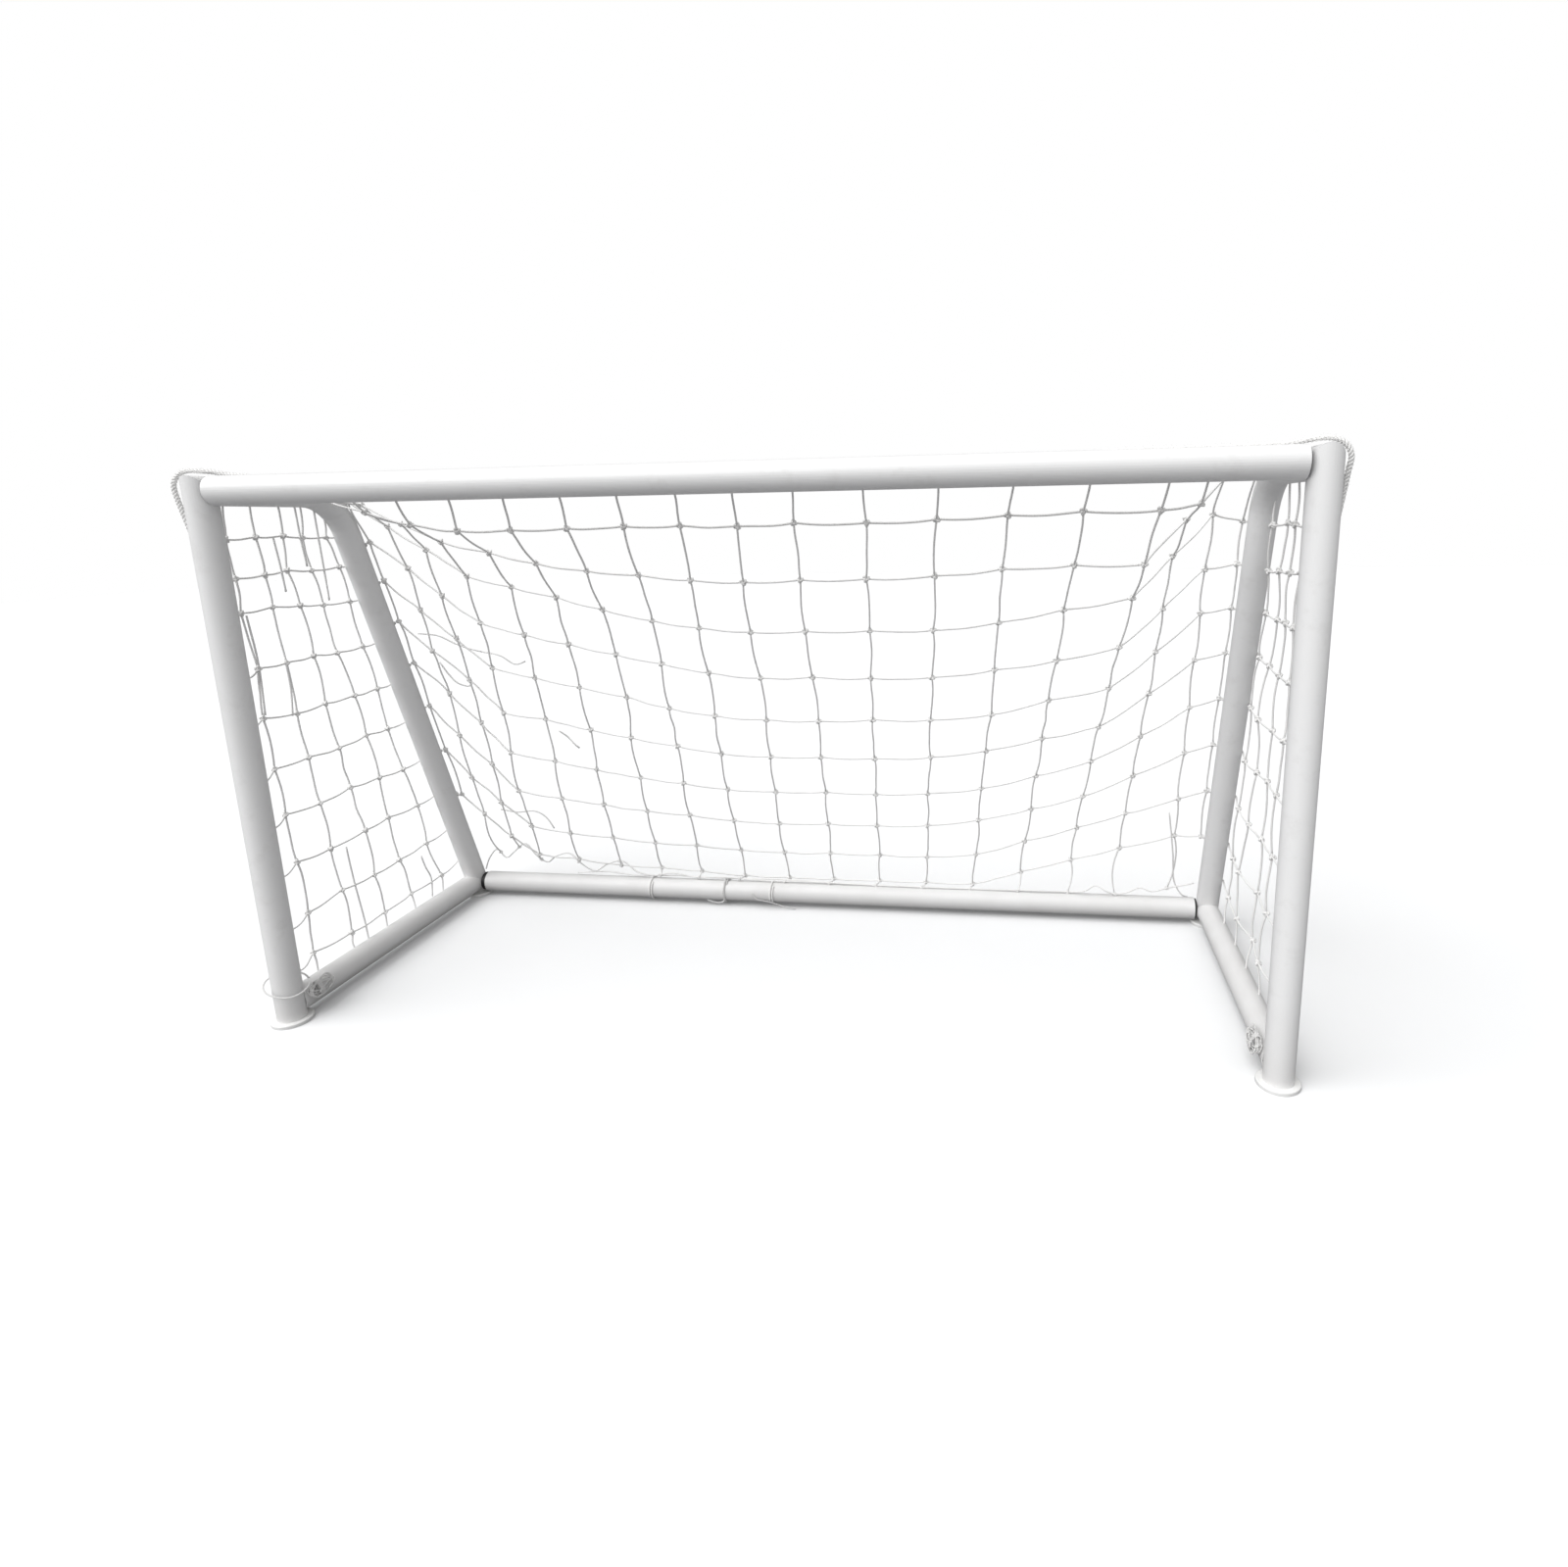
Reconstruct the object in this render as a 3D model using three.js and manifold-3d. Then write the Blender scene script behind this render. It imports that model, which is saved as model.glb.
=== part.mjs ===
// A small freestanding soccer goal frame in round steel tube, with its knotted net and cords.
// Millimetres. +X along the crossbar, +Y from the mouth to the rear, +Z up. The origin is on the
// floor, at the middle of the frame's footprint.
import * as THREE from 'three';
import { mergeVertices } from 'three/addons/utils/BufferGeometryUtils.js';
import Module from 'manifold-3d';

const wasm = await Module();
wasm.setup();

// Driving dimensions. Depths are measured from the posts' plane and heights from the floor.
const SPAN = 1850;             // post axis to post axis
const CROSSBAR_HEIGHT = 1013;  // crossbar axis above the floor
const TOP_DEPTH = 304;         // from the post to where the stay's axis line reaches crossbar height
const GROUND_DEPTH = 611;      // post axis to rear bar axis
const GROUND_BAR_HEIGHT = 34.4;
const TUBE_RADIUS = 25.4;
const TUBE_WALL = 2;
const STAY_BEND_RADIUS = 115;  // centre line of the bend between roof tube and stay
const GAP = 0.3;               // between faces that touch on the real frame
const CROSSBAR_END_GAP = 1.5;
const REAR_BAR_END_GAP = 8;
const REAR_BAR_SHIFT = 3.5;    // the rear bar sits this far off centre, to the right
const SPIGOT_PLAY = 0.5;
const SPIGOT_LENGTH = 90;
const FOOT_RADIUS = 36.4;
const FOOT_THICKNESS = 7;
const FOOT_EDGE = 2.2;         // rounding of the foot's upper edge
const FOOT_PLUG_LENGTH = 32;
const REAR_FOOT_NECK_RADIUS = 14;
const NET_THICKNESS = 6;
const NET_CLEARANCE = 2;
const SIDE_NET_CORNER = { depth: 36, height: 52 };  // cut off the side net above the foot's tie
const ROPE_RADIUS = 4.5;
const TIE_RADIUS = 1.8;
const TIE_END_RADIUS = 1.3;
const REAR_TIE_PLACE = -238;   // along the rear bar
const REAR_TIE_TURNS = 1.7;
const REAR_TIE_PITCH = 5;
const HANK = { length: 50, width: 30, thickness: 12, place: 52 };

const TUBE_SIDES = 40;
const BEND_STEPS = 8;
const FOOT_SIDES = 32;
const ROPE_SIDES = 10;
const TIE_SIDES = 8;
const BLOCK = 400;             // edge of the blocks that trim a tube to a plane

const POST_X = SPAN / 2;
const INNER_FACE = POST_X - TUBE_RADIUS;
const BORE_RADIUS = TUBE_RADIUS - TUBE_WALL;

const paint = { color: 0xf1f1ee, roughness: 0.38, metalness: 0 };
const plastic = { color: 0xe9e9e6, roughness: 0.5, metalness: 0 };
const blackPlastic = { color: 0x161616, roughness: 0.6, metalness: 0 };
const twine = { color: 0xd2d0ca, roughness: 0.9, metalness: 0 };
const cord = { color: 0xe4e2dc, roughness: 0.9, metalness: 0 };

const goal = new THREE.Group();
goal.name = 'soccer_goal_frame';
goal.position.set(0, -GROUND_DEPTH / 2, 0);

function addPart(name, geometry, finish) {
  const mesh = new THREE.Mesh(geometry, new THREE.MeshStandardMaterial(finish));
  mesh.name = name;
  goal.add(mesh);
  return mesh;
}

// A chain of straight steps between the given points, with one extrusion step for each.
class Route extends THREE.Curve {
  constructor(points) {
    super();
    this.points = points;
  }

  getPoint(t, target = new THREE.Vector3()) {
    const place = t * (this.points.length - 1);
    const step = Math.min(Math.floor(place), this.points.length - 2);
    return target.copy(this.points[step]).lerp(this.points[step + 1], place - step);
  }

  getUtoTmapping(u) {
    return u;
  }
}

function vectors(rows) {
  return rows.map((row) => new THREE.Vector3(...row));
}

function disc(radius) {
  return new THREE.Shape().absarc(0, 0, radius, 0, 2 * Math.PI, false);
}

function ring(radius, boreRadius) {
  const shape = disc(radius);
  shape.holes.push(new THREE.Path().absarc(0, 0, boreRadius, 0, 2 * Math.PI, true));
  return shape;
}

// A section carried along points. A full circle gets twice curveSegments sides.
function sweep(section, points, sides) {
  return new THREE.ExtrudeGeometry(section, {
    steps: points.length - 1,
    extrudePath: new Route(points),
    curveSegments: sides / 2,
    bevelEnabled: false,
  });
}

function tube(points) {
  return sweep(ring(TUBE_RADIUS, BORE_RADIUS), points, TUBE_SIDES);
}

function rod(radius, points, sides) {
  return sweep(disc(radius), points, sides);
}

function solidOf(geometry) {
  const bare = geometry.clone();
  bare.deleteAttribute('normal');
  bare.deleteAttribute('uv');
  const merged = mergeVertices(bare, 1e-4);
  return new wasm.Manifold(new wasm.Mesh({
    numProp: 3,
    vertProperties: Float32Array.from(merged.attributes.position.array),
    triVerts: Uint32Array.from(merged.index.array),
  }));
}

function geometryOf(solid) {
  const mesh = solid.getMesh();
  const geometry = new THREE.BufferGeometry();
  geometry.setAttribute('position', new THREE.BufferAttribute(mesh.vertProperties, 3));
  geometry.setIndex(new THREE.BufferAttribute(mesh.triVerts, 1));
  geometry.computeVertexNormals();
  return geometry;
}

// The block that starts half a gap past the plane through a point and reaches on along its normal.
function beyondPlane(point, normal) {
  const turn = new THREE.Quaternion().setFromUnitVectors(new THREE.Vector3(0, 0, 1), normal);
  const start = normal.clone().multiplyScalar(-GAP / 2).add(point);
  const block = new THREE.BoxGeometry(BLOCK, BLOCK, BLOCK);
  block.translate(0, 0, BLOCK / 2);
  block.applyQuaternion(turn);
  block.translate(start.x, start.y, start.z);
  return solidOf(block);
}

// The side frame's axis lines, in the plane of its depth (x) and height (y).
const stayDirection = new THREE.Vector2(
  GROUND_DEPTH - TOP_DEPTH,
  GROUND_BAR_HEIGHT - CROSSBAR_HEIGHT,
).normalize();
const bendAngle = -stayDirection.angle() + 2 * Math.PI;
const bendTangent = STAY_BEND_RADIUS * Math.tan(bendAngle / 2);
const bendStart = TOP_DEPTH - bendTangent;
const bendCentreHeight = CROSSBAR_HEIGHT - STAY_BEND_RADIUS;

// A point on a bend about the stay's bend centre, turned by angle from the roof tube's end.
function bendPoint(radius, angle) {
  return new THREE.Vector2(
    bendStart + radius * Math.sin(angle),
    bendCentreHeight + radius * Math.cos(angle),
  );
}

// The point on the stay's axis line at a height.
function stayPoint(height) {
  const fraction = (CROSSBAR_HEIGHT - height) / (CROSSBAR_HEIGHT - GROUND_BAR_HEIGHT);
  return new THREE.Vector2(TOP_DEPTH + fraction * (GROUND_DEPTH - TOP_DEPTH), height);
}

// The two mitres of a side frame: post to roof tube, and stay to ground bar.
const topMitre = new THREE.Vector3(0, 1, 1).normalize();
const groundMitre = new THREE.Vector3(0, stayDirection.x, stayDirection.y)
  .multiplyScalar(-1)
  .add(new THREE.Vector3(0, 1, 0))
  .normalize();

function addSideFrame(side, x) {
  const topCorner = new THREE.Vector3(x, 0, CROSSBAR_HEIGHT);
  const groundCorner = new THREE.Vector3(x, GROUND_DEPTH, GROUND_BAR_HEIGHT);
  const spare = 2 * TUBE_RADIUS;

  const postLine = vectors([[x, 0, FOOT_THICKNESS + GAP], [x, 0, CROSSBAR_HEIGHT + spare]]);
  const post = solidOf(tube(postLine)).subtract(beyondPlane(topCorner, topMitre));
  addPart(`${side}_post`, geometryOf(post), paint);

  const stayLine = vectors([[x, -spare, CROSSBAR_HEIGHT]]);
  for (let step = 0; step <= BEND_STEPS; step += 1) {
    const point = bendPoint(STAY_BEND_RADIUS, bendAngle * step / BEND_STEPS);
    stayLine.push(new THREE.Vector3(x, point.x, point.y));
  }
  const stayEnd = stayPoint(GROUND_BAR_HEIGHT - spare);
  stayLine.push(new THREE.Vector3(x, stayEnd.x, stayEnd.y));
  const stay = solidOf(tube(stayLine))
    .subtract(beyondPlane(topCorner, topMitre.clone().negate()))
    .subtract(beyondPlane(groundCorner, groundMitre.clone().negate()));
  addPart(`${side}_roof_and_stay_tube`, geometryOf(stay), paint);

  const postShell = rod(TUBE_RADIUS + GAP, vectors([[x, 0, -spare], [x, 0, 2 * spare]]), TUBE_SIDES);
  const barLine = vectors([
    [x, TUBE_RADIUS / 2, GROUND_BAR_HEIGHT],
    [x, GROUND_DEPTH + spare, GROUND_BAR_HEIGHT],
  ]);
  const bar = solidOf(tube(barLine))
    .subtract(solidOf(postShell))
    .subtract(beyondPlane(groundCorner, groundMitre));
  addPart(`${side}_ground_bar`, geometryOf(bar), paint);
}

// A foot's round plate, with a neck of the given radius and height standing on it.
function footProfile(neckRadius, neckTop) {
  const edge = FOOT_RADIUS - FOOT_EDGE;
  const profile = new THREE.Path();
  profile.moveTo(0, 0);
  profile.lineTo(FOOT_RADIUS, 0);
  profile.lineTo(FOOT_RADIUS, FOOT_THICKNESS - FOOT_EDGE);
  profile.absarc(edge, FOOT_THICKNESS - FOOT_EDGE, FOOT_EDGE, 0, Math.PI / 2, false);
  profile.lineTo(neckRadius, FOOT_THICKNESS);
  profile.lineTo(neckRadius, neckTop);
  profile.lineTo(0, neckTop);
  return profile.getPoints(2);
}

function footGeometry(neckRadius, neckTop, x, y) {
  const foot = new THREE.LatheGeometry(footProfile(neckRadius, neckTop), FOOT_SIDES);
  foot.rotateX(Math.PI / 2);
  foot.translate(x, y, 0);
  return foot;
}

// The front foot plugs into the post. The rear foot's neck is saddled to the ground bar.
function addFeet(side, x) {
  const plugTop = FOOT_THICKNESS + FOOT_PLUG_LENGTH;
  const front = footGeometry(BORE_RADIUS - SPIGOT_PLAY, plugTop, x, 0);
  addPart(`${side}_front_foot`, front, plastic);

  const rear = footGeometry(REAR_FOOT_NECK_RADIUS, GROUND_BAR_HEIGHT / 2, x, GROUND_DEPTH);
  const barShell = rod(TUBE_RADIUS + GAP, vectors([
    [x, GROUND_DEPTH - 2 * FOOT_RADIUS, GROUND_BAR_HEIGHT],
    [x, GROUND_DEPTH + 2 * FOOT_RADIUS, GROUND_BAR_HEIGHT],
  ]), TUBE_SIDES);
  const saddled = solidOf(rear).subtract(solidOf(barShell));
  addPart(`${side}_rear_foot`, geometryOf(saddled), plastic);
}

// A cross tube with square ends, and the spigot in each end that carries it on the side frame.
function addCrossTube(name, y, z, leftGap, rightGap) {
  const line = vectors([[leftGap - INNER_FACE, y, z], [INNER_FACE - rightGap, y, z]]);
  addPart(name, tube(line), paint);
  for (const [side, sign] of [['left', -1], ['right', 1]]) {
    const outer = sign * (INNER_FACE - GAP);
    const inner = sign * (INNER_FACE - SPIGOT_LENGTH);
    const ends = vectors([[Math.min(outer, inner), y, z], [Math.max(outer, inner), y, z]]);
    const spigot = rod(BORE_RADIUS - SPIGOT_PLAY, ends, FOOT_SIDES);
    addPart(`${name}_${side}_spigot`, spigot, blackPlastic);
  }
}

// The main net hangs from the crossbar to the rear bar. Its edges follow the side frames, and its
// middle sags along a quadratic curve.
const netFront = TUBE_RADIUS + NET_CLEARANCE + NET_THICKNESS / 2;
const hemHeight = GROUND_BAR_HEIGHT + TUBE_RADIUS + NET_CLEARANCE + NET_THICKNESS;
const netEdge = new THREE.Path();
netEdge.moveTo(netFront, CROSSBAR_HEIGHT);
netEdge.lineTo(bendStart, CROSSBAR_HEIGHT);
netEdge.absarc(
  bendStart, bendCentreHeight, STAY_BEND_RADIUS, Math.PI / 2, Math.PI / 2 - bendAngle, true,
);
netEdge.lineTo(stayPoint(hemHeight).x, hemHeight);
const netMiddle = new THREE.QuadraticBezierCurve(
  new THREE.Vector2(netFront, CROSSBAR_HEIGHT - 8),
  new THREE.Vector2(493, 562),
  new THREE.Vector2(GROUND_DEPTH + 14, hemHeight + 2),
);

// A point of the main net: across runs from -1 to 1, down from 0 at the crossbar to 1 at the hem.
function netPoint(across, down) {
  return netMiddle.getPoint(down).lerp(netEdge.getPointAt(down), across * across);
}

function addMainNet() {
  const halfWidth = INNER_FACE - NET_CLEARANCE;
  const slab = new THREE.BoxGeometry(2, NET_THICKNESS, 1, 12, 1, 12);
  const place = slab.attributes.position;
  for (let index = 0; index < place.count; index += 1) {
    const across = place.getX(index);
    const down = 0.5 - place.getZ(index);
    const point = netPoint(across, down);
    const before = netPoint(across, Math.max(down - 0.01, 0));
    const slope = netPoint(across, Math.min(down + 0.01, 1)).sub(before).normalize();
    const offset = place.getY(index);
    place.setXYZ(
      index, across * halfWidth, point.x - slope.y * offset, point.y + slope.x * offset,
    );
  }
  addPart('main_net', slab, twine);
}

// The side net fills the opening between post, roof tube, stay and ground bar.
function addSideNet(side, x) {
  const inset = TUBE_RADIUS + NET_CLEARANCE;
  const low = GROUND_BAR_HEIGHT + inset;
  const edgeShift = inset / -stayDirection.y;
  const outline = new THREE.Shape();
  outline.moveTo(inset, low + SIDE_NET_CORNER.height);
  outline.lineTo(inset + SIDE_NET_CORNER.depth, low);
  outline.lineTo(stayPoint(low).x - edgeShift, low);
  const bendEnd = bendPoint(STAY_BEND_RADIUS - inset, bendAngle);
  outline.lineTo(bendEnd.x, bendEnd.y);
  outline.absarc(
    bendStart, bendCentreHeight, STAY_BEND_RADIUS - inset,
    Math.PI / 2 - bendAngle, Math.PI / 2, false,
  );
  outline.lineTo(inset, CROSSBAR_HEIGHT - inset);
  outline.closePath();
  const net = new THREE.ExtrudeGeometry(outline, {
    depth: NET_THICKNESS, curveSegments: BEND_STEPS, bevelEnabled: false,
  });
  net.translate(0, 0, -NET_THICKNESS / 2);
  net.rotateX(Math.PI / 2);
  net.rotateZ(Math.PI / 2);
  net.translate(x, 0, 0);
  addPart(`${side}_side_net`, net, twine);
}

// The net's border rope, from behind the left post's foot, up the post, over the left corner,
// along the back of the crossbar, over the right corner and down behind the right post.
const borderRopeRoute = [
  [-947, 22, 112], [-947, 22, 300], [-947, 22, 520], [-947, 22, 700], [-948, 22, 800],
  [-953, 16, 870], [-959, 9, 920], [-966, 4, 965], [-974, 3, 1000], [-977, 3, 1020],
  [-974, 4, 1033], [-964, 5, 1043], [-948, 6, 1048], [-925, 9, 1047], [-905, 14, 1045],
  [-885, 19, 1041], [-860, 22, 1038], [-800, 25, 1033], [-650, 28, 1028], [-400, 29, 1025],
  [0, 29, 1025], [350, 27, 1029], [560, 23, 1034], [650, 20, 1038], [760, 19, 1038],
  [860, 19, 1040], [890, 17, 1043], [910, 13, 1046], [930, 10, 1047], [946, 9, 1043],
  [957, 9, 1034], [963, 10, 1020], [961, 12, 1000], [957, 15, 965], [951, 20, 915],
  [943, 26, 860], [935, 30, 800], [934, 30, 700], [934, 30, 520], [934, 30, 300],
  [934, 30, 112],
];

// A cord tied round the left post above the foot.
const footTieRoute = [
  [-889, 17, 74], [-887, 4, 68], [-889, -14, 65], [-898, -27, 65], [-914, -34, 68],
  [-931, -35, 73], [-947, -30, 78], [-959, -18, 82], [-965, -2, 85], [-961, 16, 87],
  [-950, 30, 87], [-933, 36, 84], [-915, 34, 80], [-901, 27, 77],
];

const rearLooseEndRoute = [
  [-167, 582, 40], [-163, 580, 32], [-154, 579, 26], [-140, 580, 23], [-124, 580, 20],
  [-108, 580, 16], [-95, 580, 12], [-84, 582, 8], [-72, 584, 5], [-60, 586, 3],
];

// The spare tie cord, bundled up on the inner shoulder of the ground bar, just behind the post.
function addTieHank(side, sign) {
  const half = (HANK.length - HANK.width) / 2;
  const outline = new THREE.Shape();
  outline.absarc(half, 0, HANK.width / 2, -Math.PI / 2, Math.PI / 2, false);
  outline.absarc(-half, 0, HANK.width / 2, Math.PI / 2, 1.5 * Math.PI, false);
  const hank = new THREE.ExtrudeGeometry(outline, {
    depth: HANK.thickness, curveSegments: TIE_SIDES, bevelEnabled: false,
  });
  const lift = TUBE_RADIUS + 2 * GAP;
  hank.rotateZ(Math.PI / 2);
  hank.translate(0, HANK.place, lift);
  hank.rotateY(-sign * Math.PI / 4);
  hank.translate(sign * POST_X, 0, GROUND_BAR_HEIGHT);
  addPart(`${side}_tie_hank`, hank, cord);
}

// Steps from the end of the rear tie's winding to the tip of its tail.
const rearTieTail = [[-8, -1, -4], [-10, -1, 0], [-12, -1, 3], [-12, 0, 4]];

// A cord wound round the rear bar, from its upper front over the top, with a tail at the front.
function addRearTie() {
  const reach = TUBE_RADIUS + 3 * GAP + TIE_RADIUS;
  const stepsPerTurn = 20;
  const startAngle = -0.3 * Math.PI;
  const points = [];
  for (let step = 0; step <= REAR_TIE_TURNS * stepsPerTurn; step += 1) {
    const turns = step / stepsPerTurn;
    const angle = startAngle - 2 * Math.PI * turns;
    points.push(new THREE.Vector3(
      REAR_TIE_PLACE - REAR_TIE_PITCH * turns,
      GROUND_DEPTH - reach * Math.cos(angle),
      GROUND_BAR_HEIGHT - reach * Math.sin(angle),
    ));
  }
  for (const step of vectors(rearTieTail)) {
    points.push(step.add(points[points.length - 1]));
  }
  addPart('rear_tie', rod(TIE_RADIUS, points, TIE_SIDES), cord);
}

for (const [side, sign] of [['left', -1], ['right', 1]]) {
  addSideFrame(side, sign * POST_X);
  addFeet(side, sign * POST_X);
  addSideNet(side, sign * POST_X);
  addTieHank(side, sign);
}
addCrossTube('crossbar', 0, CROSSBAR_HEIGHT, CROSSBAR_END_GAP, CROSSBAR_END_GAP);
addCrossTube(
  'rear_ground_bar', GROUND_DEPTH, GROUND_BAR_HEIGHT,
  REAR_BAR_END_GAP + REAR_BAR_SHIFT, REAR_BAR_END_GAP - REAR_BAR_SHIFT,
);
addMainNet();
addPart('border_rope', rod(ROPE_RADIUS, vectors(borderRopeRoute), ROPE_SIDES), cord);
addPart('left_tie_loop', rod(TIE_RADIUS, vectors(footTieRoute), TIE_SIDES), cord);
addRearTie();
addPart('rear_loose_end', rod(TIE_END_RADIUS, vectors(rearLooseEndRoute), TIE_SIDES), cord);

export default goal;
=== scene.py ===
"""A small freestanding soccer goal: white tube frame, knotted net, border rope and tie cords."""

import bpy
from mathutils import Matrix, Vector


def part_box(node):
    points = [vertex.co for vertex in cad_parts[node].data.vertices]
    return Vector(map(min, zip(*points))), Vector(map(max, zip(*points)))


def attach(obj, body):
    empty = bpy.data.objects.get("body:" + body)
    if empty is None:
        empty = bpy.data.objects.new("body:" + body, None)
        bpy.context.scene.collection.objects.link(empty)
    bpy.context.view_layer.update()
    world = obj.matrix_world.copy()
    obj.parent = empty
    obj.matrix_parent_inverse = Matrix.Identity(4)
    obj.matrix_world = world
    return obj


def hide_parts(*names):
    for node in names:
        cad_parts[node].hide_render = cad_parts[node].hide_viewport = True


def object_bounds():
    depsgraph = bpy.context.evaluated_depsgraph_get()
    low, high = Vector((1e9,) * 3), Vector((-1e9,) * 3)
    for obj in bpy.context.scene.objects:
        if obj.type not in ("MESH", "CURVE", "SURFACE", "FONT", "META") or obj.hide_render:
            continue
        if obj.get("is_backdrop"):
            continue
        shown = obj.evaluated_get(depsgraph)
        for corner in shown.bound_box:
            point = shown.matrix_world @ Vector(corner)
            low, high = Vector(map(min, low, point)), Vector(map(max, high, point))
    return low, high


bl_info = {
    "name": "Small Soccer Goal",
    "version": (1, 0, 0),
    "blender": (4, 5, 0),
    "location": "View3D > Sidebar > Goal",
    "description": "Dresses a tube goal frame with its net, ropes, finishes and a pale studio",
    "category": "Add Mesh",
}

import math

import bpy
import numpy as np
from mathutils import Matrix, Vector

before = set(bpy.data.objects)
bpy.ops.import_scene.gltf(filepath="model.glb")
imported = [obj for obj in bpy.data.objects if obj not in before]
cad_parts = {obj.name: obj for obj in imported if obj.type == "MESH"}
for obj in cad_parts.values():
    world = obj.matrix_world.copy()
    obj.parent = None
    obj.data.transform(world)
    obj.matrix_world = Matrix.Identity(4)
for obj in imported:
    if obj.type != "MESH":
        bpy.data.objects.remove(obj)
CAD_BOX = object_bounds()
BODY = "root"

# Places worked out from the frame, in metres. x runs along the crossbar, y to the rear, z up.
CROSSBAR_LOW, CROSSBAR_HIGH = (np.array(corner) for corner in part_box("crossbar"))
POST_LOW, POST_HIGH = (np.array(corner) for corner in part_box("right_post"))
REAR_LOW, REAR_HIGH = (np.array(corner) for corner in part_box("rear_ground_bar"))
TUBE_RADIUS = float(CROSSBAR_HIGH[2] - CROSSBAR_LOW[2]) / 2
MOUTH_Y = float(POST_LOW[1] + POST_HIGH[1]) / 2
POST_X = float(POST_LOW[0] + POST_HIGH[0]) / 2
CROSSBAR_Z = float(CROSSBAR_LOW[2] + CROSSBAR_HIGH[2]) / 2
REAR_Y = float(REAR_LOW[1] + REAR_HIGH[1]) / 2
REAR_Z = float(REAR_LOW[2] + REAR_HIGH[2]) / 2

# The side frame's bend: where the stay's axis line meets crossbar height, and the bend's radius.
STAY_TOP_DEPTH = 0.304
STAY_BEND_RADIUS = 0.115
SEED = 11
MILLIMETRE = 0.001
# Shorter than any real length, to keep a division from failing where two points meet.
TINY = 1e-12


class GoalSizes(bpy.types.PropertyGroup):
    """Sizes of the soft parts that a user would change."""

    mesh: bpy.props.FloatProperty(
        name="Mesh", description="Knot to knot along the twine",
        default=0.120, min=0.05, max=0.25, subtype="DISTANCE", unit="LENGTH")
    twine_diameter: bpy.props.FloatProperty(
        name="Twine", description="Thickness of the net's twine",
        default=0.0038, min=0.001, max=0.01, subtype="DISTANCE", unit="LENGTH")
    knot_width: bpy.props.FloatProperty(
        name="Knot", description="Width of a net knot",
        default=0.0150, min=0.004, max=0.03, subtype="DISTANCE", unit="LENGTH")
    rope_diameter: bpy.props.FloatProperty(
        name="Border rope", description="Thickness of the three-strand border rope",
        default=0.009, min=0.004, max=0.02, subtype="DISTANCE", unit="LENGTH")
    rope_lay: bpy.props.FloatProperty(
        name="Rope lay", description="Length of one full turn of the rope's strands",
        default=0.018, min=0.01, max=0.08, subtype="DISTANCE", unit="LENGTH")
    tie_diameter: bpy.props.FloatProperty(
        name="Tie cord", description="Thickness of the tie cords",
        default=0.0036, min=0.001, max=0.01, subtype="DISTANCE", unit="LENGTH")


class GoalColours(bpy.types.PropertyGroup):
    """Colours of the finishes."""

    paint: bpy.props.FloatVectorProperty(
        name="Tube paint", description="Satin white of the steel tubes",
        default=(0.82, 0.82, 0.82), size=3, min=0, max=1, subtype="COLOR")
    grime: bpy.props.FloatVectorProperty(
        name="Grime", description="Handling marks on the paint",
        default=(0.50, 0.48, 0.46), size=3, min=0, max=1, subtype="COLOR")
    foot: bpy.props.FloatVectorProperty(
        name="Feet", description="White plastic of the feet",
        default=(0.83, 0.83, 0.82), size=3, min=0, max=1, subtype="COLOR")
    spigot: bpy.props.FloatVectorProperty(
        name="Spigots", description="Black plastic of the spigots in the tube ends",
        default=(0.012, 0.012, 0.013), size=3, min=0, max=1, subtype="COLOR")
    twine: bpy.props.FloatVectorProperty(
        name="Net twine", description="Off-white of the net",
        default=(0.92, 0.915, 0.905), size=3, min=0, max=1, subtype="COLOR")
    cord: bpy.props.FloatVectorProperty(
        name="Ropes", description="White of the border rope and tie cords",
        default=(0.92, 0.915, 0.905), size=3, min=0, max=1, subtype="COLOR")
    floor: bpy.props.FloatVectorProperty(
        name="Floor", description="Pale studio floor",
        default=(0.90, 0.905, 0.91), size=3, min=0, max=1, subtype="COLOR")


# ---------------------------------------------------------------------------------------------
# Vector arithmetic on whole arrays
# ---------------------------------------------------------------------------------------------

def unit(vectors):
    """Each vector over its own length."""
    return vectors / np.maximum(np.linalg.norm(vectors, axis=-1, keepdims=True), TINY)


def from_mouth(points):
    """Points in millimetres, with depth counted from the posts, as metres in the goal's frame."""
    return np.array(points, float) * MILLIMETRE + np.array([0, MOUTH_Y, 0])


def evenly(path, spacing):
    """A path's points again, the given distance apart along it."""
    steps = np.linalg.norm(np.diff(path, axis=0), axis=1)
    run = np.concatenate([[0], np.cumsum(steps)])
    places = np.linspace(0, run[-1], max(int(round(run[-1] / spacing)), 2) + 1)
    return np.stack([np.interp(places, run, path[:, axis]) for axis in range(3)], axis=1)


def smooth_path(points, spacing, steps=24):
    """A Catmull-Rom curve through points: on each stretch, the cubic that meets its two ends
    with the slope of the line between their neighbours, then spaced evenly."""
    padded = np.vstack([2 * points[0] - points[1], points, 2 * points[-1] - points[-2]])
    before, start, end, after = padded[:-3], padded[1:-2], padded[2:-1], padded[3:]
    t = np.linspace(0, 1, steps, endpoint=False)[None, :, None]
    before, start, end, after = (p[:, None, :] for p in (before, start, end, after))
    curve = 0.5 * (
        2 * start + (end - before) * t
        + (2 * before - 5 * start + 4 * end - after) * t ** 2
        + (3 * start - before - 3 * end + after) * t ** 3)
    return evenly(np.vstack([curve.reshape(-1, 3), points[-1]]), spacing)


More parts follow.
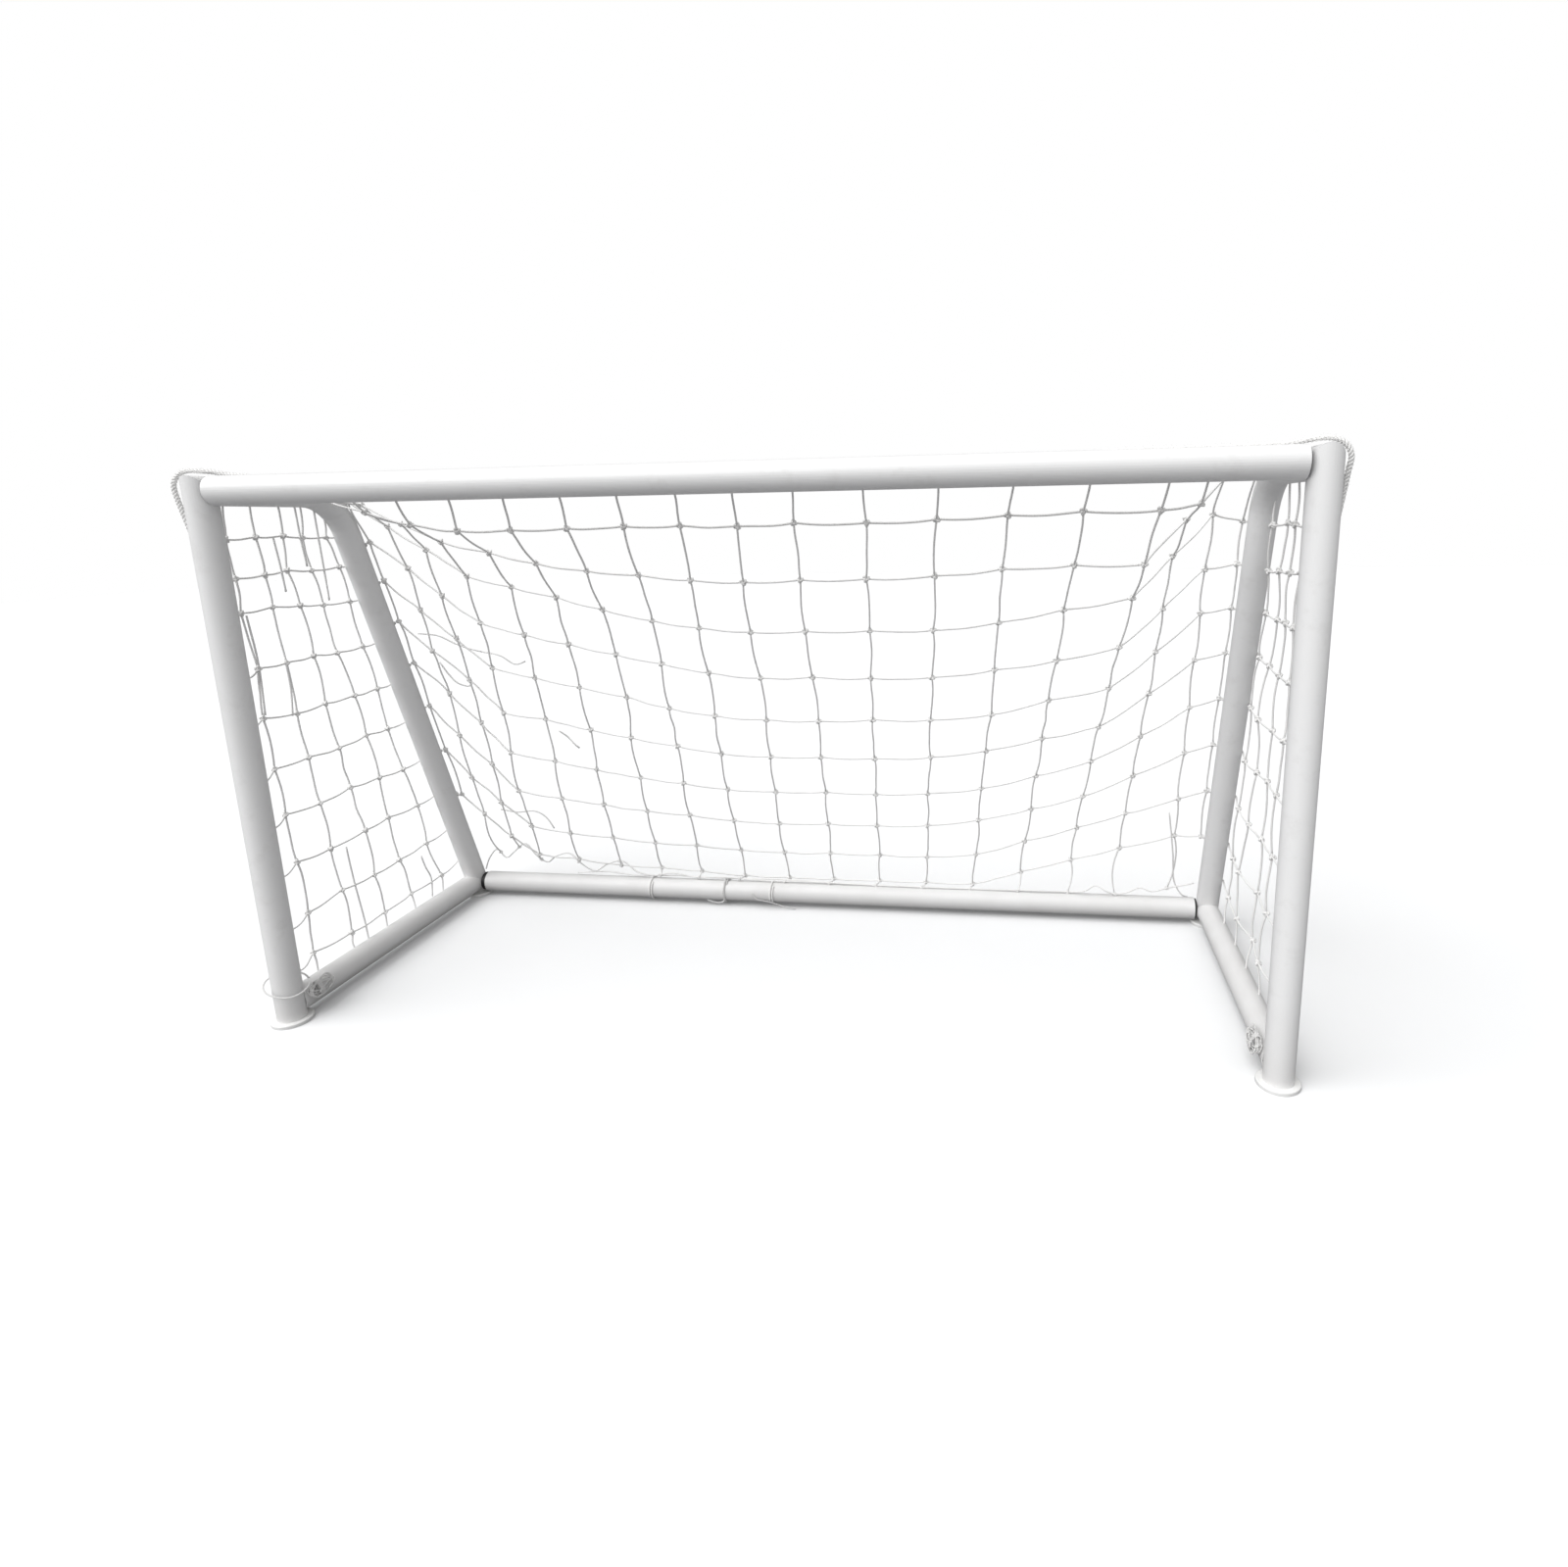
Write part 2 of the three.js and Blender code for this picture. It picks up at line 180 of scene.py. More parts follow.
def frames(paths, reference):
    """Tangent, normal and binormal along each path. The normal is the part of the reference
    direction that is square to the tangent."""
    tangent = unit(np.gradient(paths, axis=-2))
    normal = unit(reference - tangent * np.sum(reference * tangent, axis=-1, keepdims=True))
    return tangent, normal, np.cross(tangent, normal)


# ---------------------------------------------------------------------------------------------
# Mesh making
# ---------------------------------------------------------------------------------------------

def put_mesh(name, vertices, groups, material):
    """A mesh object from a vertex array and groups of (corner indices, corner uvs), in which
    each group's faces have the same number of corners."""
    mesh = bpy.data.meshes.new(name)
    mesh.vertices.add(len(vertices))
    mesh.vertices.foreach_set("co", vertices.astype(np.float32).ravel())
    corners = np.concatenate([faces.ravel() for faces, _ in groups])
    sizes = np.concatenate([np.full(len(faces), faces.shape[1]) for faces, _ in groups])
    mesh.loops.add(len(corners))
    mesh.loops.foreach_set("vertex_index", corners.astype(np.int32))
    mesh.polygons.add(len(sizes))
    mesh.polygons.foreach_set("loop_start", (np.cumsum(sizes) - sizes).astype(np.int32))
    mesh.update(calc_edges=True)
    uvs = np.concatenate([uv.reshape(-1, 2) for _, uv in groups])
    mesh.uv_layers.new(name="length_and_turn").data.foreach_set(
        "uv", uvs.astype(np.float32).ravel())
    mesh.polygons.foreach_set("use_smooth", np.ones(len(sizes), bool))
    mesh.materials.append(material)
    mesh.update()
    piece = bpy.data.objects.new(name, mesh)
    bpy.context.scene.collection.objects.link(piece)
    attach(piece, BODY)
    return piece


def tubes(paths, reference, radii, sides):
    """Closed round tubes along paths of equal point count. Ring k of a tube is its path point
    plus radius times (cos a * normal + sin a * binormal). Returns vertices and face groups; u is
    the length along a tube in metres and v the turn from 0 to 1."""
    paths = np.asarray(paths, float)
    count, rings = paths.shape[:2]
    _, normal, binormal = frames(paths, reference)
    angle = np.arange(sides) * 2 * math.pi / sides
    radii = np.broadcast_to(radii, (count, rings))[..., None, None]
    around = (normal[:, :, None] * np.cos(angle)[:, None]
              + binormal[:, :, None] * np.sin(angle)[:, None])
    vertices = (paths[:, :, None] + radii * around).reshape(-1, 3)

    first = np.arange(count * rings * sides).reshape(count, rings, sides)
    after = np.roll(first, -1, axis=2)
    quads = np.stack([first[:, :-1], after[:, :-1], after[:, 1:], first[:, 1:]], axis=-1)
    steps = np.linalg.norm(np.diff(paths, axis=1), axis=2)
    run = np.concatenate([np.zeros((count, 1)), np.cumsum(steps, axis=1)], axis=1)
    turn = np.arange(sides + 1) / sides
    u = np.broadcast_to(run[:, :, None], (count, rings, sides + 1))
    v = np.broadcast_to(turn, (count, rings, sides + 1))
    uv = np.stack([u, v], axis=-1)
    quad_uv = np.stack([uv[:, :-1, :-1], uv[:, :-1, 1:], uv[:, 1:, 1:], uv[:, 1:, :-1]], axis=-2)
    caps = np.concatenate([first[:, 0, ::-1], first[:, -1]])
    cap_uv = np.concatenate([uv[:, 0, -2::-1], uv[:, -1, :-1]])
    return vertices, [(quads.reshape(-1, 4), quad_uv.reshape(-1, 4, 2)), (caps, cap_uv)]


def join_parts(parts):
    """Vertex arrays and face groups of several shapes as one, each shape's corner indices moved
    up past the vertices before it."""
    vertices, groups, base = [], [], 0
    for points, faces in parts:
        vertices.append(points)
        groups += [(corners + base, uv) for corners, uv in faces]
        base += len(points)
    return np.concatenate(vertices), groups


def twisted(path, reference, diameter, lay, strands=3, sides=7):
    """A laid cord: strands wound round the path. Strand k runs at the turn s / lay + k / strands,
    on a circle where neighbouring strands just touch, and is a little fuller than that."""
    fullness = 1.08
    strand_radius = diameter / 2 / (1 + 1 / math.sin(math.pi / strands))
    offset = diameter / 2 - strand_radius
    _, normal, binormal = frames(path, reference)
    steps = np.linalg.norm(np.diff(path, axis=0), axis=1)
    run = np.concatenate([[0], np.cumsum(steps)])
    phase = 2 * math.pi * (run[None] / lay + np.arange(strands)[:, None] / strands)
    outward = (np.cos(phase)[..., None] * normal + np.sin(phase)[..., None] * binormal)
    return tubes(path + offset * outward, outward, strand_radius * fullness, sides)


def fuzz(path, diameter, length, thickness, count, seed):
    """Loose fibres: thin three-sided spikes that leave the cord's surface in random directions."""
    reach = diameter * 0.45
    random = np.random.default_rng(seed)
    tangent = unit(np.gradient(path, axis=0))
    place = random.integers(1, len(path) - 1, count)
    away = random.normal(size=(count, 3))
    away = unit(away - tangent[place] * np.sum(away * tangent[place], axis=1, keepdims=True))
    lean = unit(away + 0.9 * random.normal(size=(count, 3)))
    root = path[place] + away * reach
    bend = root + lean * length * random.uniform(0.4, 1, (count, 1))
    fibre = np.stack([root - away * reach * 0.3, (root + bend) / 2 + away * length * 0.1, bend],
                     axis=1)
    return tubes(fibre, unit(np.cross(lean, tangent[place]))[:, None], thickness, 3)


# ---------------------------------------------------------------------------------------------
# Materials
# ---------------------------------------------------------------------------------------------

def new_material(name):
    """A node material with only its Principled shader, and short calls to add to it."""
    material = bpy.data.materials.new(name)
    material.use_nodes = True
    tree = material.node_tree
    shader = tree.nodes["Principled BSDF"]

    def add(kind, inputs=None, **settings):
        node = tree.nodes.new(kind)
        for key, value in settings.items():
            setattr(node, key, value)
        for key, value in (inputs or {}).items():
            if isinstance(value, bpy.types.NodeSocket):
                tree.links.new(value, node.inputs[key])
            else:
                node.inputs[key].default_value = value
        return node

    def link(output, socket):
        tree.links.new(output, shader.inputs[socket])

    return material, shader, add, link


def noise(add, place, scale, detail=4.0, roughness=0.55):
    """A noise pattern's value socket at a place socket."""
    return add("ShaderNodeTexNoise",
               {"Vector": place, "Scale": scale, "Detail": detail, "Roughness": roughness},
               ).outputs["Fac"]


def spread(add, value, low, high, to_low=0.0, to_high=1.0):
    """A value carried from one range to another and clamped there."""
    return add("ShaderNodeMapRange",
               {"Value": value, "From Min": low, "From Max": high,
                "To Min": to_low, "To Max": to_high}).outputs["Result"]


def combine(add, operation, first, second):
    """Two values through one arithmetic operation."""
    node = add("ShaderNodeMath", operation=operation)
    for socket, value in zip(node.inputs, (first, second)):
        if isinstance(value, bpy.types.NodeSocket):
            node.id_data.links.new(value, socket)
        else:
            socket.default_value = value
    return node.outputs["Value"]


def mix_colours(add, amount, first, second):
    """A colour between two, by an amount socket."""
    node = add("ShaderNodeMix", data_type="RGBA")
    tree = node.id_data
    tree.links.new(amount, node.inputs["Factor"])
    for name, value in (("A", first), ("B", second)):
        socket = [s for s in node.inputs if s.name == name and s.type == "RGBA"][0]
        if isinstance(value, bpy.types.NodeSocket):
            tree.links.new(value, socket)
        else:
            socket.default_value = (*value, 1)
    return [s for s in node.outputs if s.type == "RGBA"][0]


def paint_material(colours):
    """Satin powder coat: fine orange peel, cloudy roughness, faint handling marks, and dust that
    gathers near the floor."""
    material, shader, add, link = new_material("satin_white_paint")
    place = add("ShaderNodeTexCoord").outputs["Object"]
    clouds = noise(add, place, 9.0, 3.0)
    patches = noise(add, place, 26.0, 6.0, 0.62)
    height = add("ShaderNodeSeparateXYZ", {"Vector": place}).outputs["Z"]
    marks = spread(add, patches, 0.56, 0.72)
    dust = combine(add, "MULTIPLY", spread(add, height, 0.0, 0.16, 0.55, 0.0), clouds)
    stretched = add("ShaderNodeMapping", {"Vector": place, "Scale": (60.0, 700.0, 700.0)})
    scratches = spread(add, noise(add, stretched.outputs["Vector"], 1.0, 2.0), 0.68, 0.74)
    amount = combine(add, "MAXIMUM", combine(add, "MULTIPLY", marks, 0.16), dust)
    amount = combine(add, "MAXIMUM", amount, combine(add, "MULTIPLY", scratches, 0.10))
    link(mix_colours(add, amount, colours.paint, colours.grime), "Base Color")
    rough = combine(add, "ADD", spread(add, clouds, 0.3, 0.7, 0.33, 0.43),
                    combine(add, "MULTIPLY", amount, 0.35))
    link(rough, "Roughness")
    peel = noise(add, place, 420.0, 2.0)
    bump = add("ShaderNodeBump", {"Height": peel, "Strength": 0.10, "Distance": 0.0004})
    dents = add("ShaderNodeBump", {"Height": clouds, "Strength": 0.12, "Distance": 0.004,
                                   "Normal": bump.outputs["Normal"]})
    link(dents.outputs["Normal"], "Normal")
    shader.inputs["Coat Weight"].default_value = 0.12
    shader.inputs["Coat Roughness"].default_value = 0.22
    return material


def foot_material(colours):
    """Moulded white plastic with a fine grain, scuffed towards the floor."""
    material, shader, add, link = new_material("white_foot_plastic")
    place = add("ShaderNodeTexCoord").outputs["Object"]
    height = add("ShaderNodeSeparateXYZ", {"Vector": place}).outputs["Z"]
    scuffs = spread(add, noise(add, place, 90.0, 6.0, 0.65), 0.5, 0.75)
    low = spread(add, height, 0.0, 0.006, 0.5, 0.08)
    amount = combine(add, "MULTIPLY", scuffs, low)
    link(mix_colours(add, amount, colours.foot, colours.grime), "Base Color")
    link(spread(add, scuffs, 0.0, 1.0, 0.42, 0.62), "Roughness")
    grain = noise(add, place, 900.0, 3.0)
    bump = add("ShaderNodeBump", {"Height": grain, "Strength": 0.18, "Distance": 0.0003})
    link(bump.outputs["Normal"], "Normal")
    return material


def spigot_material(colours):
    """Black moulded plastic with a grain and lengthwise rub marks."""
    material, shader, add, link = new_material("black_spigot_plastic")
    place = add("ShaderNodeTexCoord").outputs["Object"]
    grain = noise(add, place, 800.0, 3.0)
    stretched = add("ShaderNodeMapping", {"Vector": place, "Scale": (30.0, 500.0, 500.0)})
    rubs = spread(add, noise(add, stretched.outputs["Vector"], 1.0, 3.0), 0.55, 0.75)
    link(mix_colours(add, combine(add, "MULTIPLY", rubs, 0.35), colours.spigot, (0.09,) * 3),
         "Base Color")
    link(spread(add, rubs, 0.0, 1.0, 0.52, 0.38), "Roughness")
    bump = add("ShaderNodeBump", {"Height": grain, "Strength": 0.25, "Distance": 0.0003})
    link(bump.outputs["Normal"], "Normal")
    return material


def fibre_material(name, colour, yarn, turns, soiling):
    """Twisted fibre: yarns run round the piece as they run along it, one ridge each time the
    length over the yarn spacing, plus the turn, gains one. Dirt settles in patches, painted
    shade darkens the grooves between the yarns, and the fibres have a soft sheen."""
    material, shader, add, link = new_material(name)
    coordinates = add("ShaderNodeTexCoord")
    place = coordinates.outputs["Object"]
    split = add("ShaderNodeSeparateXYZ", {"Vector": coordinates.outputs["UV"]})
    run = combine(add, "DIVIDE", split.outputs["X"], yarn)
    phase = combine(add, "ADD", run, combine(add, "MULTIPLY", split.outputs["Y"], turns))
    ridge = combine(add, "ABSOLUTE", combine(add, "SINE", combine(
        add, "MULTIPLY", phase, math.pi), 0.0), 0.0)
    hairs = noise(add, place, 1500.0, 4.0, 0.7)
    dirt = spread(add, noise(add, place, 14.0, 5.0, 0.6), 0.42, 0.75)
    # Painted shade: the grooves between the yarns are darkened in the base colour, up to 0.30 of
    # the way to the darker tone.
    groove_shade = spread(add, ridge, 0.0, 0.5, 0.30, 0.0)
    amount = combine(add, "ADD", groove_shade, combine(add, "MULTIPLY", dirt, soiling))
    darker = tuple(0.55 * c for c in colour)
    link(mix_colours(add, amount, tuple(colour), darker), "Base Color")
    link(spread(add, hairs, 0.3, 0.7, 0.78, 0.96), "Roughness")
    yarns = add("ShaderNodeBump", {"Height": ridge, "Strength": 0.75, "Distance": 0.0006})
    bump = add("ShaderNodeBump", {"Height": hairs, "Strength": 0.35, "Distance": 0.0004,
                                  "Normal": yarns.outputs["Normal"]})
    link(bump.outputs["Normal"], "Normal")
    shader.inputs["Sheen Weight"].default_value = 0.25
    shader.inputs["Sheen Roughness"].default_value = 0.6
    return material


# ---------------------------------------------------------------------------------------------
# The side frame's path
# ---------------------------------------------------------------------------------------------

def side_path():
    """Points (depth, height) along the axis of the roof tube, its bend and the stay, and the
    outward normal at each. The bend is an arc tangent to both straight tubes."""
    drop = np.array([REAR_Y - MOUTH_Y - STAY_TOP_DEPTH, REAR_Z - CROSSBAR_Z])
    direction = drop / np.linalg.norm(drop)
    bend = math.acos(direction[0])
    tangent = STAY_BEND_RADIUS * math.tan(bend / 2)
    start = STAY_TOP_DEPTH - tangent
    angle = np.linspace(0, bend, 24)
    arc = np.stack([start + STAY_BEND_RADIUS * np.sin(angle),
                    CROSSBAR_Z - STAY_BEND_RADIUS * (1 - np.cos(angle))], axis=1)
    foot = np.array([REAR_Y - MOUTH_Y, REAR_Z])
    line = np.vstack([[0, CROSSBAR_Z], arc, foot])
    slope = np.gradient(line, axis=0)
    slope[0] = slope[1] = (1, 0)
    slope[-2:] = direction
    normal = np.stack([-slope[:, 1], slope[:, 0]], axis=1)
    normal /= np.linalg.norm(normal, axis=1, keepdims=True)
    return line, normal


def beside_stay(places, outward, sideways, sign):
    """Points beside the right (sign 1) or left side tube at places measured along its axis from
    the crossbar: outward is away from the goal's inside, in the side frame's plane, and sideways
    is away from the goal's middle."""
    line, normal = side_path()
    run = np.concatenate([[0], np.cumsum(np.linalg.norm(np.diff(line, axis=0), axis=1))])
    depth, height = (np.interp(places, run, line[:, axis]) for axis in range(2))
    away = np.stack([np.interp(places, run, normal[:, axis]) for axis in range(2)], axis=-1)
    return np.stack([
        np.broadcast_to(sign * (POST_X + sideways), depth.shape),
        MOUTH_Y + depth + away[..., 0] * outward,
        height + away[..., 1] * outward], axis=-1)


def stay_run(heights):
    """The place along the side tube's axis where the stay reaches each height."""
    line, _ = side_path()
    run = np.concatenate([[0], np.cumsum(np.linalg.norm(np.diff(line, axis=0), axis=1))])
    return np.interp(-np.asarray(heights, float), -line[1:, 1], run[1:])


# ---------------------------------------------------------------------------------------------
# Camera
# ---------------------------------------------------------------------------------------------

CAMERA_PLACE = (0.4923, -1.7028, 0.9415)
# Yaw, pitch and roll in degrees, from a level look along the goal's depth.
CAMERA_TURNS = (-7.96, -11.87, -1.10)
CAMERA_LENS = 20.28
CAMERA_SENSOR = 36.0
CAMERA_SHIFT = (-0.075, -0.0498)


class GOAL_OT_camera(bpy.types.Operator):
    """Sets the camera in front of the mouth, right of its middle and just under crossbar height"""

    bl_idname = "goal.camera"
    bl_label = "Camera"

    def execute(self, context):
        yaw, pitch, roll = (math.radians(turn) for turn in CAMERA_TURNS)
        forward = Vector((math.sin(yaw) * math.cos(pitch), math.cos(yaw) * math.cos(pitch),
                          math.sin(pitch)))
        level = Vector((math.cos(yaw), -math.sin(yaw), 0))
        upright = level.cross(forward)
        right = math.cos(roll) * level + math.sin(roll) * upright
        up = math.cos(roll) * upright - math.sin(roll) * level
        data = bpy.data.cameras.new("view")
        data.sensor_width = CAMERA_SENSOR
        data.lens = CAMERA_LENS
        data.shift_x, data.shift_y = CAMERA_SHIFT
        camera = bpy.data.objects.new("view", data)
        context.scene.collection.objects.link(camera)
        turn = Matrix((right, up, -forward)).transposed().to_4x4()
        camera.matrix_world = Matrix.Translation(CAMERA_PLACE) @ turn
        context.scene.camera = camera
        return {"FINISHED"}


# ---------------------------------------------------------------------------------------------
# Ropes and ties
# ---------------------------------------------------------------------------------------------

# Millimetres, with depth counted from the posts. From behind the left post's foot, up the post,
# over the left corner, along the back of the crossbar, over the right corner and down again.
BORDER_ROPE = [
    (-947, 22, 112), (-947, 22, 300), (-947, 22, 520), (-947, 22, 700), (-948, 22, 800),
    (-953, 16, 870), (-959, 9, 920), (-966, 4, 965), (-974, 3, 1000), (-977, 3, 1020),
    (-974, 4, 1033), (-964, 5, 1043), (-948, 6, 1048), (-925, 9, 1047), (-905, 14, 1045),
    (-885, 19, 1041), (-860, 22, 1038), (-800, 25, 1033), (-650, 28, 1028), (-400, 29, 1025),
    (0, 29, 1025), (350, 27, 1029), (560, 23, 1034), (650, 20, 1038), (760, 19, 1038),
    (860, 19, 1040), (890, 17, 1043), (910, 13, 1046), (930, 10, 1047), (946, 9, 1043),
    (957, 9, 1034), (963, 10, 1020), (961, 12, 1000), (957, 15, 965), (951, 20, 915),
    (943, 26, 860), (935, 30, 800), (934, 30, 700), (934, 30, 520), (934, 30, 300),
    (934, 30, 112),
]
# Its points along the back of the crossbar, which the main net is tied to.
ALONG_CROSSBAR = slice(14, 28)

FOOT_TIE = [
    (-889, 17, 74), (-887, 4, 68), (-889, -14, 65), (-898, -27, 65), (-914, -34, 68),
    (-931, -35, 73), (-947, -30, 78), (-959, -18, 82), (-965, -2, 85), (-961, 16, 87),
    (-950, 30, 87), (-933, 36, 84), (-915, 34, 80), (-901, 27, 77),
]

REAR_LOOSE_END = [
    (-167, 582, 40), (-163, 580, 32), (-154, 579, 26), (-140, 580, 23), (-124, 580, 20),
    (-108, 580, 16), (-95, 580, 12), (-84, 582, 8), (-72, 584, 5), (-60, 586, 3),
]


# Lengths of one turn of lay, and the thin cord that the bundles and the frayed end are made of.
TIE_LAY = 0.011
THIN_CORD = 0.0026
BUNDLE_LAY = 0.008
FRAYED_LAY = 0.009


def put_cord(name, node, parts, finish):
    """A cord's mesh in place of its node."""
    piece = put_mesh(name, *join_parts(parts), finish)
    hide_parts(node)


class GOAL_OT_border_rope(bpy.types.Operator):
    """Lays the three-strand border rope up both posts and along the back of the crossbar"""

    bl_idname = "goal.border_rope"
    bl_label = "Border rope"

    def execute(self, context):
        sizes = context.scene.goal_sizes
        colours = context.scene.goal_colours
        path = smooth_path(from_mouth(BORDER_ROPE), sizes.rope_lay / 10)
        along_depth = np.array([0.0, 1.0, 0.0])
        rope = twisted(path, along_depth, sizes.rope_diameter, sizes.rope_lay)
        hairs = fuzz(path, sizes.rope_diameter, length=0.0032, thickness=0.00010,
                     count=2600, seed=SEED)
        finish = fibre_material("white_rope_fibre", colours.cord, yarn=0.0035, turns=2.0,
                                soiling=0.22)
        put_cord("border_rope_laid", "border_rope", [rope, hairs], finish)
        return {"FINISHED"}


HANK_NODES = {-1: "left_tie_hank", 1: "right_tie_hank"}
HANK_RUN, HANK_FOLD, HANK_THICKNESS = 0.0215, 0.0135, 0.0090


def hank_loops():
    """Flat loops, each a race-track of two runs and two half-round folds, that change in width
    and direction from one to the next and step through the bundle's thickness."""
    turns, points_a_turn = 7, 28
    narrowing, widest_fan, fan_step = 0.45, 0.30, 2.4
    flattening, fold_length, bulge = 1.35, 0.55, 0.25
    t = np.arange(turns * points_a_turn) / points_a_turn
    loop = 2 * math.pi * (t % 1)
    width = HANK_FOLD * (1.0 - narrowing * (np.floor(t) % 3) / 2)
    fan = widest_fan * np.sin(fan_step * np.floor(t))
    along = (HANK_RUN * np.clip(flattening * np.cos(loop), -1, 1)
             + width * np.cos(loop) * fold_length)
    across = width * np.sin(loop) * (1 + bulge * np.cos(loop))
    depth = HANK_THICKNESS * (t / turns - 0.5)
    return np.stack([along * np.cos(fan) - across * np.sin(fan),
                     across * np.cos(fan) + along * np.sin(fan), depth], axis=1)


def hank_wraps(cord):
    """Close turns round the bundle's middle."""
    wraps, points_a_wrap = 4, 18
    first_place, spacing, clearance = -0.012, 1.15, 1.1
    w = np.arange(1, wraps * points_a_wrap) / points_a_wrap
    angle = 2 * math.pi * w + math.pi / 2
    return np.stack([first_place + cord * spacing * w, (HANK_FOLD + cord) * np.cos(angle),
                     (HANK_THICKNESS / 2 + cord * clearance) * np.sin(angle)], axis=1)


def hank_path(sign, cord):
    """The centreline of a bundle of cord on the inner shoulder of a ground bar, its loops and
    then its wraps, and the direction in which the bundle stands off the bar."""
    shoulder, smoothings, forward = math.pi / 7, 12, 0.006
    path = smooth_path(np.vstack([hank_loops(), hank_wraps(cord)]), cord * 0.45, steps=6)
    for _ in range(smoothings):
        path[1:-1] = (path[:-2] + 2 * path[1:-1] + path[2:]) / 4
    lift = TUBE_RADIUS + HANK_THICKNESS / 2 + 1.75 * cord
    inward = np.array([-sign * math.cos(shoulder), 0, math.sin(shoulder)])
    tangential = np.array([sign * math.sin(shoulder), 0, math.cos(shoulder)])
    low, high = (np.array(corner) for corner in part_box(HANK_NODES[sign]))
    middle = np.array([sign * POST_X, (low[1] + high[1]) / 2 - forward, REAR_Z]) + inward * lift
    axes = np.stack([np.array([0, 1.0, 0]), tangential, inward])
    return middle + path @ axes, inward


class GOAL_OT_foot_ties(bpy.types.Operator):
    """Ties the cord round the left post's foot and bundles the spare cord behind both posts"""

    bl_idname = "goal.foot_ties"
    bl_label = "Foot ties"

    def execute(self, context):
        sizes = context.scene.goal_sizes
        colours = context.scene.goal_colours
        finish = fibre_material("white_tie_fibre", colours.cord, yarn=0.0016, turns=2.0,
                                soiling=0.2)
        path = smooth_path(from_mouth(FOOT_TIE), sizes.tie_diameter / 3)
        loop = twisted(path, np.array([0.0, 0, 1]), sizes.tie_diameter, TIE_LAY)
        hairs = fuzz(path, sizes.tie_diameter, length=0.002, thickness=0.00007,
                     count=260, seed=SEED + 1)
        put_cord("left_foot_tie", "left_tie_loop", [loop, hairs], finish)
        for sign, node in HANK_NODES.items():
            path, inward = hank_path(sign, THIN_CORD)
            reference = inward + np.array([0, 1.0, 0])
            bundle = twisted(path, reference, THIN_CORD, BUNDLE_LAY, strands=2, sides=6)
            put_cord(node.replace("_hank", "_bundle"), node, [bundle], finish)
        return {"FINISHED"}


def rear_tie_route():
    """The tie wound round the rear bar, as a helix about the bar, and its tail at the front."""
    reach, turns, pitch, steps = 0.0281, 1.7, 0.005, 20
    first_place, first_angle = -0.238, -0.3 * math.pi
    turn = np.arange(int(turns * steps) + 1) / steps
    angle = first_angle - 2 * math.pi * turn
    winding = np.stack([first_place - pitch * turn, REAR_Y - reach * np.cos(angle),
                        REAR_Z - reach * np.sin(angle)], axis=1)
    tail = np.cumsum([(-8, -1, -4), (-10, -1, 0), (-12, -1, 3), (-12, 0, 4)], axis=0)
    return np.vstack([winding, winding[-1] + tail * MILLIMETRE])


class GOAL_OT_rear_ties(bpy.types.Operator):
    """Winds the tie round the rear bar and drops the frayed end beside it"""

    bl_idname = "goal.rear_ties"
    bl_label = "Rear ties"

    def execute(self, context):
        sizes = context.scene.goal_sizes
        colours = context.scene.goal_colours
        finish = fibre_material("frayed_tie_fibre", colours.cord, yarn=0.0016, turns=2.0,
                                soiling=0.3)
        path = smooth_path(rear_tie_route(), sizes.tie_diameter / 3)
        winding = twisted(path, np.array([1.0, 0, 0.02]), sizes.tie_diameter, TIE_LAY)
        hairs = fuzz(path, sizes.tie_diameter, length=0.0026, thickness=0.00008,
                     count=700, seed=SEED + 2)
        put_cord("rear_bar_tie", "rear_tie", [winding, hairs], finish)

        path = smooth_path(from_mouth(REAR_LOOSE_END), THIN_CORD / 3)
        end = twisted(path, np.array([0.0, 1, 0]), THIN_CORD, FRAYED_LAY, strands=2, sides=6)
        hairs = fuzz(path, THIN_CORD, length=0.0016, thickness=0.00007,
                     count=420, seed=SEED + 3)
        put_cord("rear_frayed_end", "rear_loose_end", [end, hairs], finish)
        return {"FINISHED"}


# ---------------------------------------------------------------------------------------------
# Net
# ---------------------------------------------------------------------------------------------

def pull(first, second, first_free, second_free, reach):
    """Strands that can only pull: where two knots are further apart than reach, both move half
    the excess towards each other, or one moves all of it where the other is tied."""
    gap = second - first
    length = np.linalg.norm(gap, axis=-1, keepdims=True)
    excess = np.maximum(length - reach, 0) / np.maximum(length, 1e-9)
    share = np.maximum(first_free + second_free, 1)
    first += gap * excess * first_free / share
    second -= gap * excess * second_free / share


def hang(knots, free, across, down):
    """Lets a net hang. Each round lowers the free knots by a step that shrinks to nothing and
    then pulls every strand short, alternate strands together so that no knot is in two."""
    rounds, passes = 100, 12
    first_step, last_step = 0.004, 0.00002
    for step in np.geomspace(first_step, last_step, rounds):
        knots[..., 2] -= step * free[..., 2]
        for _ in range(passes):
            for odd in (0, 1):
                count = (knots.shape[1] - odd) // 2
                left = slice(odd, odd + 2 * count - 1, 2)
                right = slice(odd + 1, odd + 2 * count, 2)
                pull(knots[:, left], knots[:, right], free[:, left], free[:, right],
                     across[left, None])
                count = (knots.shape[0] - odd) // 2
                upper = slice(odd, odd + 2 * count - 1, 2)
                lower = slice(odd + 1, odd + 2 * count, 2)
                pull(knots[upper], knots[lower], free[upper], free[lower],
                     down[upper, None, None])


COLUMNS = 19
ROWS = 11
# Gaps between the columns as (share of the mesh, how many), from the left, where the net is tied
# along the crossbar and where it meets the rear bar. The meshes bunch up in the corners.
UPPER_GAPS = ((0.85, 10), (1.0, 5), (0.5, 3))
LOWER_GAPS = ((0.5, 3), (0.9, 5), (1.0, 9), (0.5, 1))
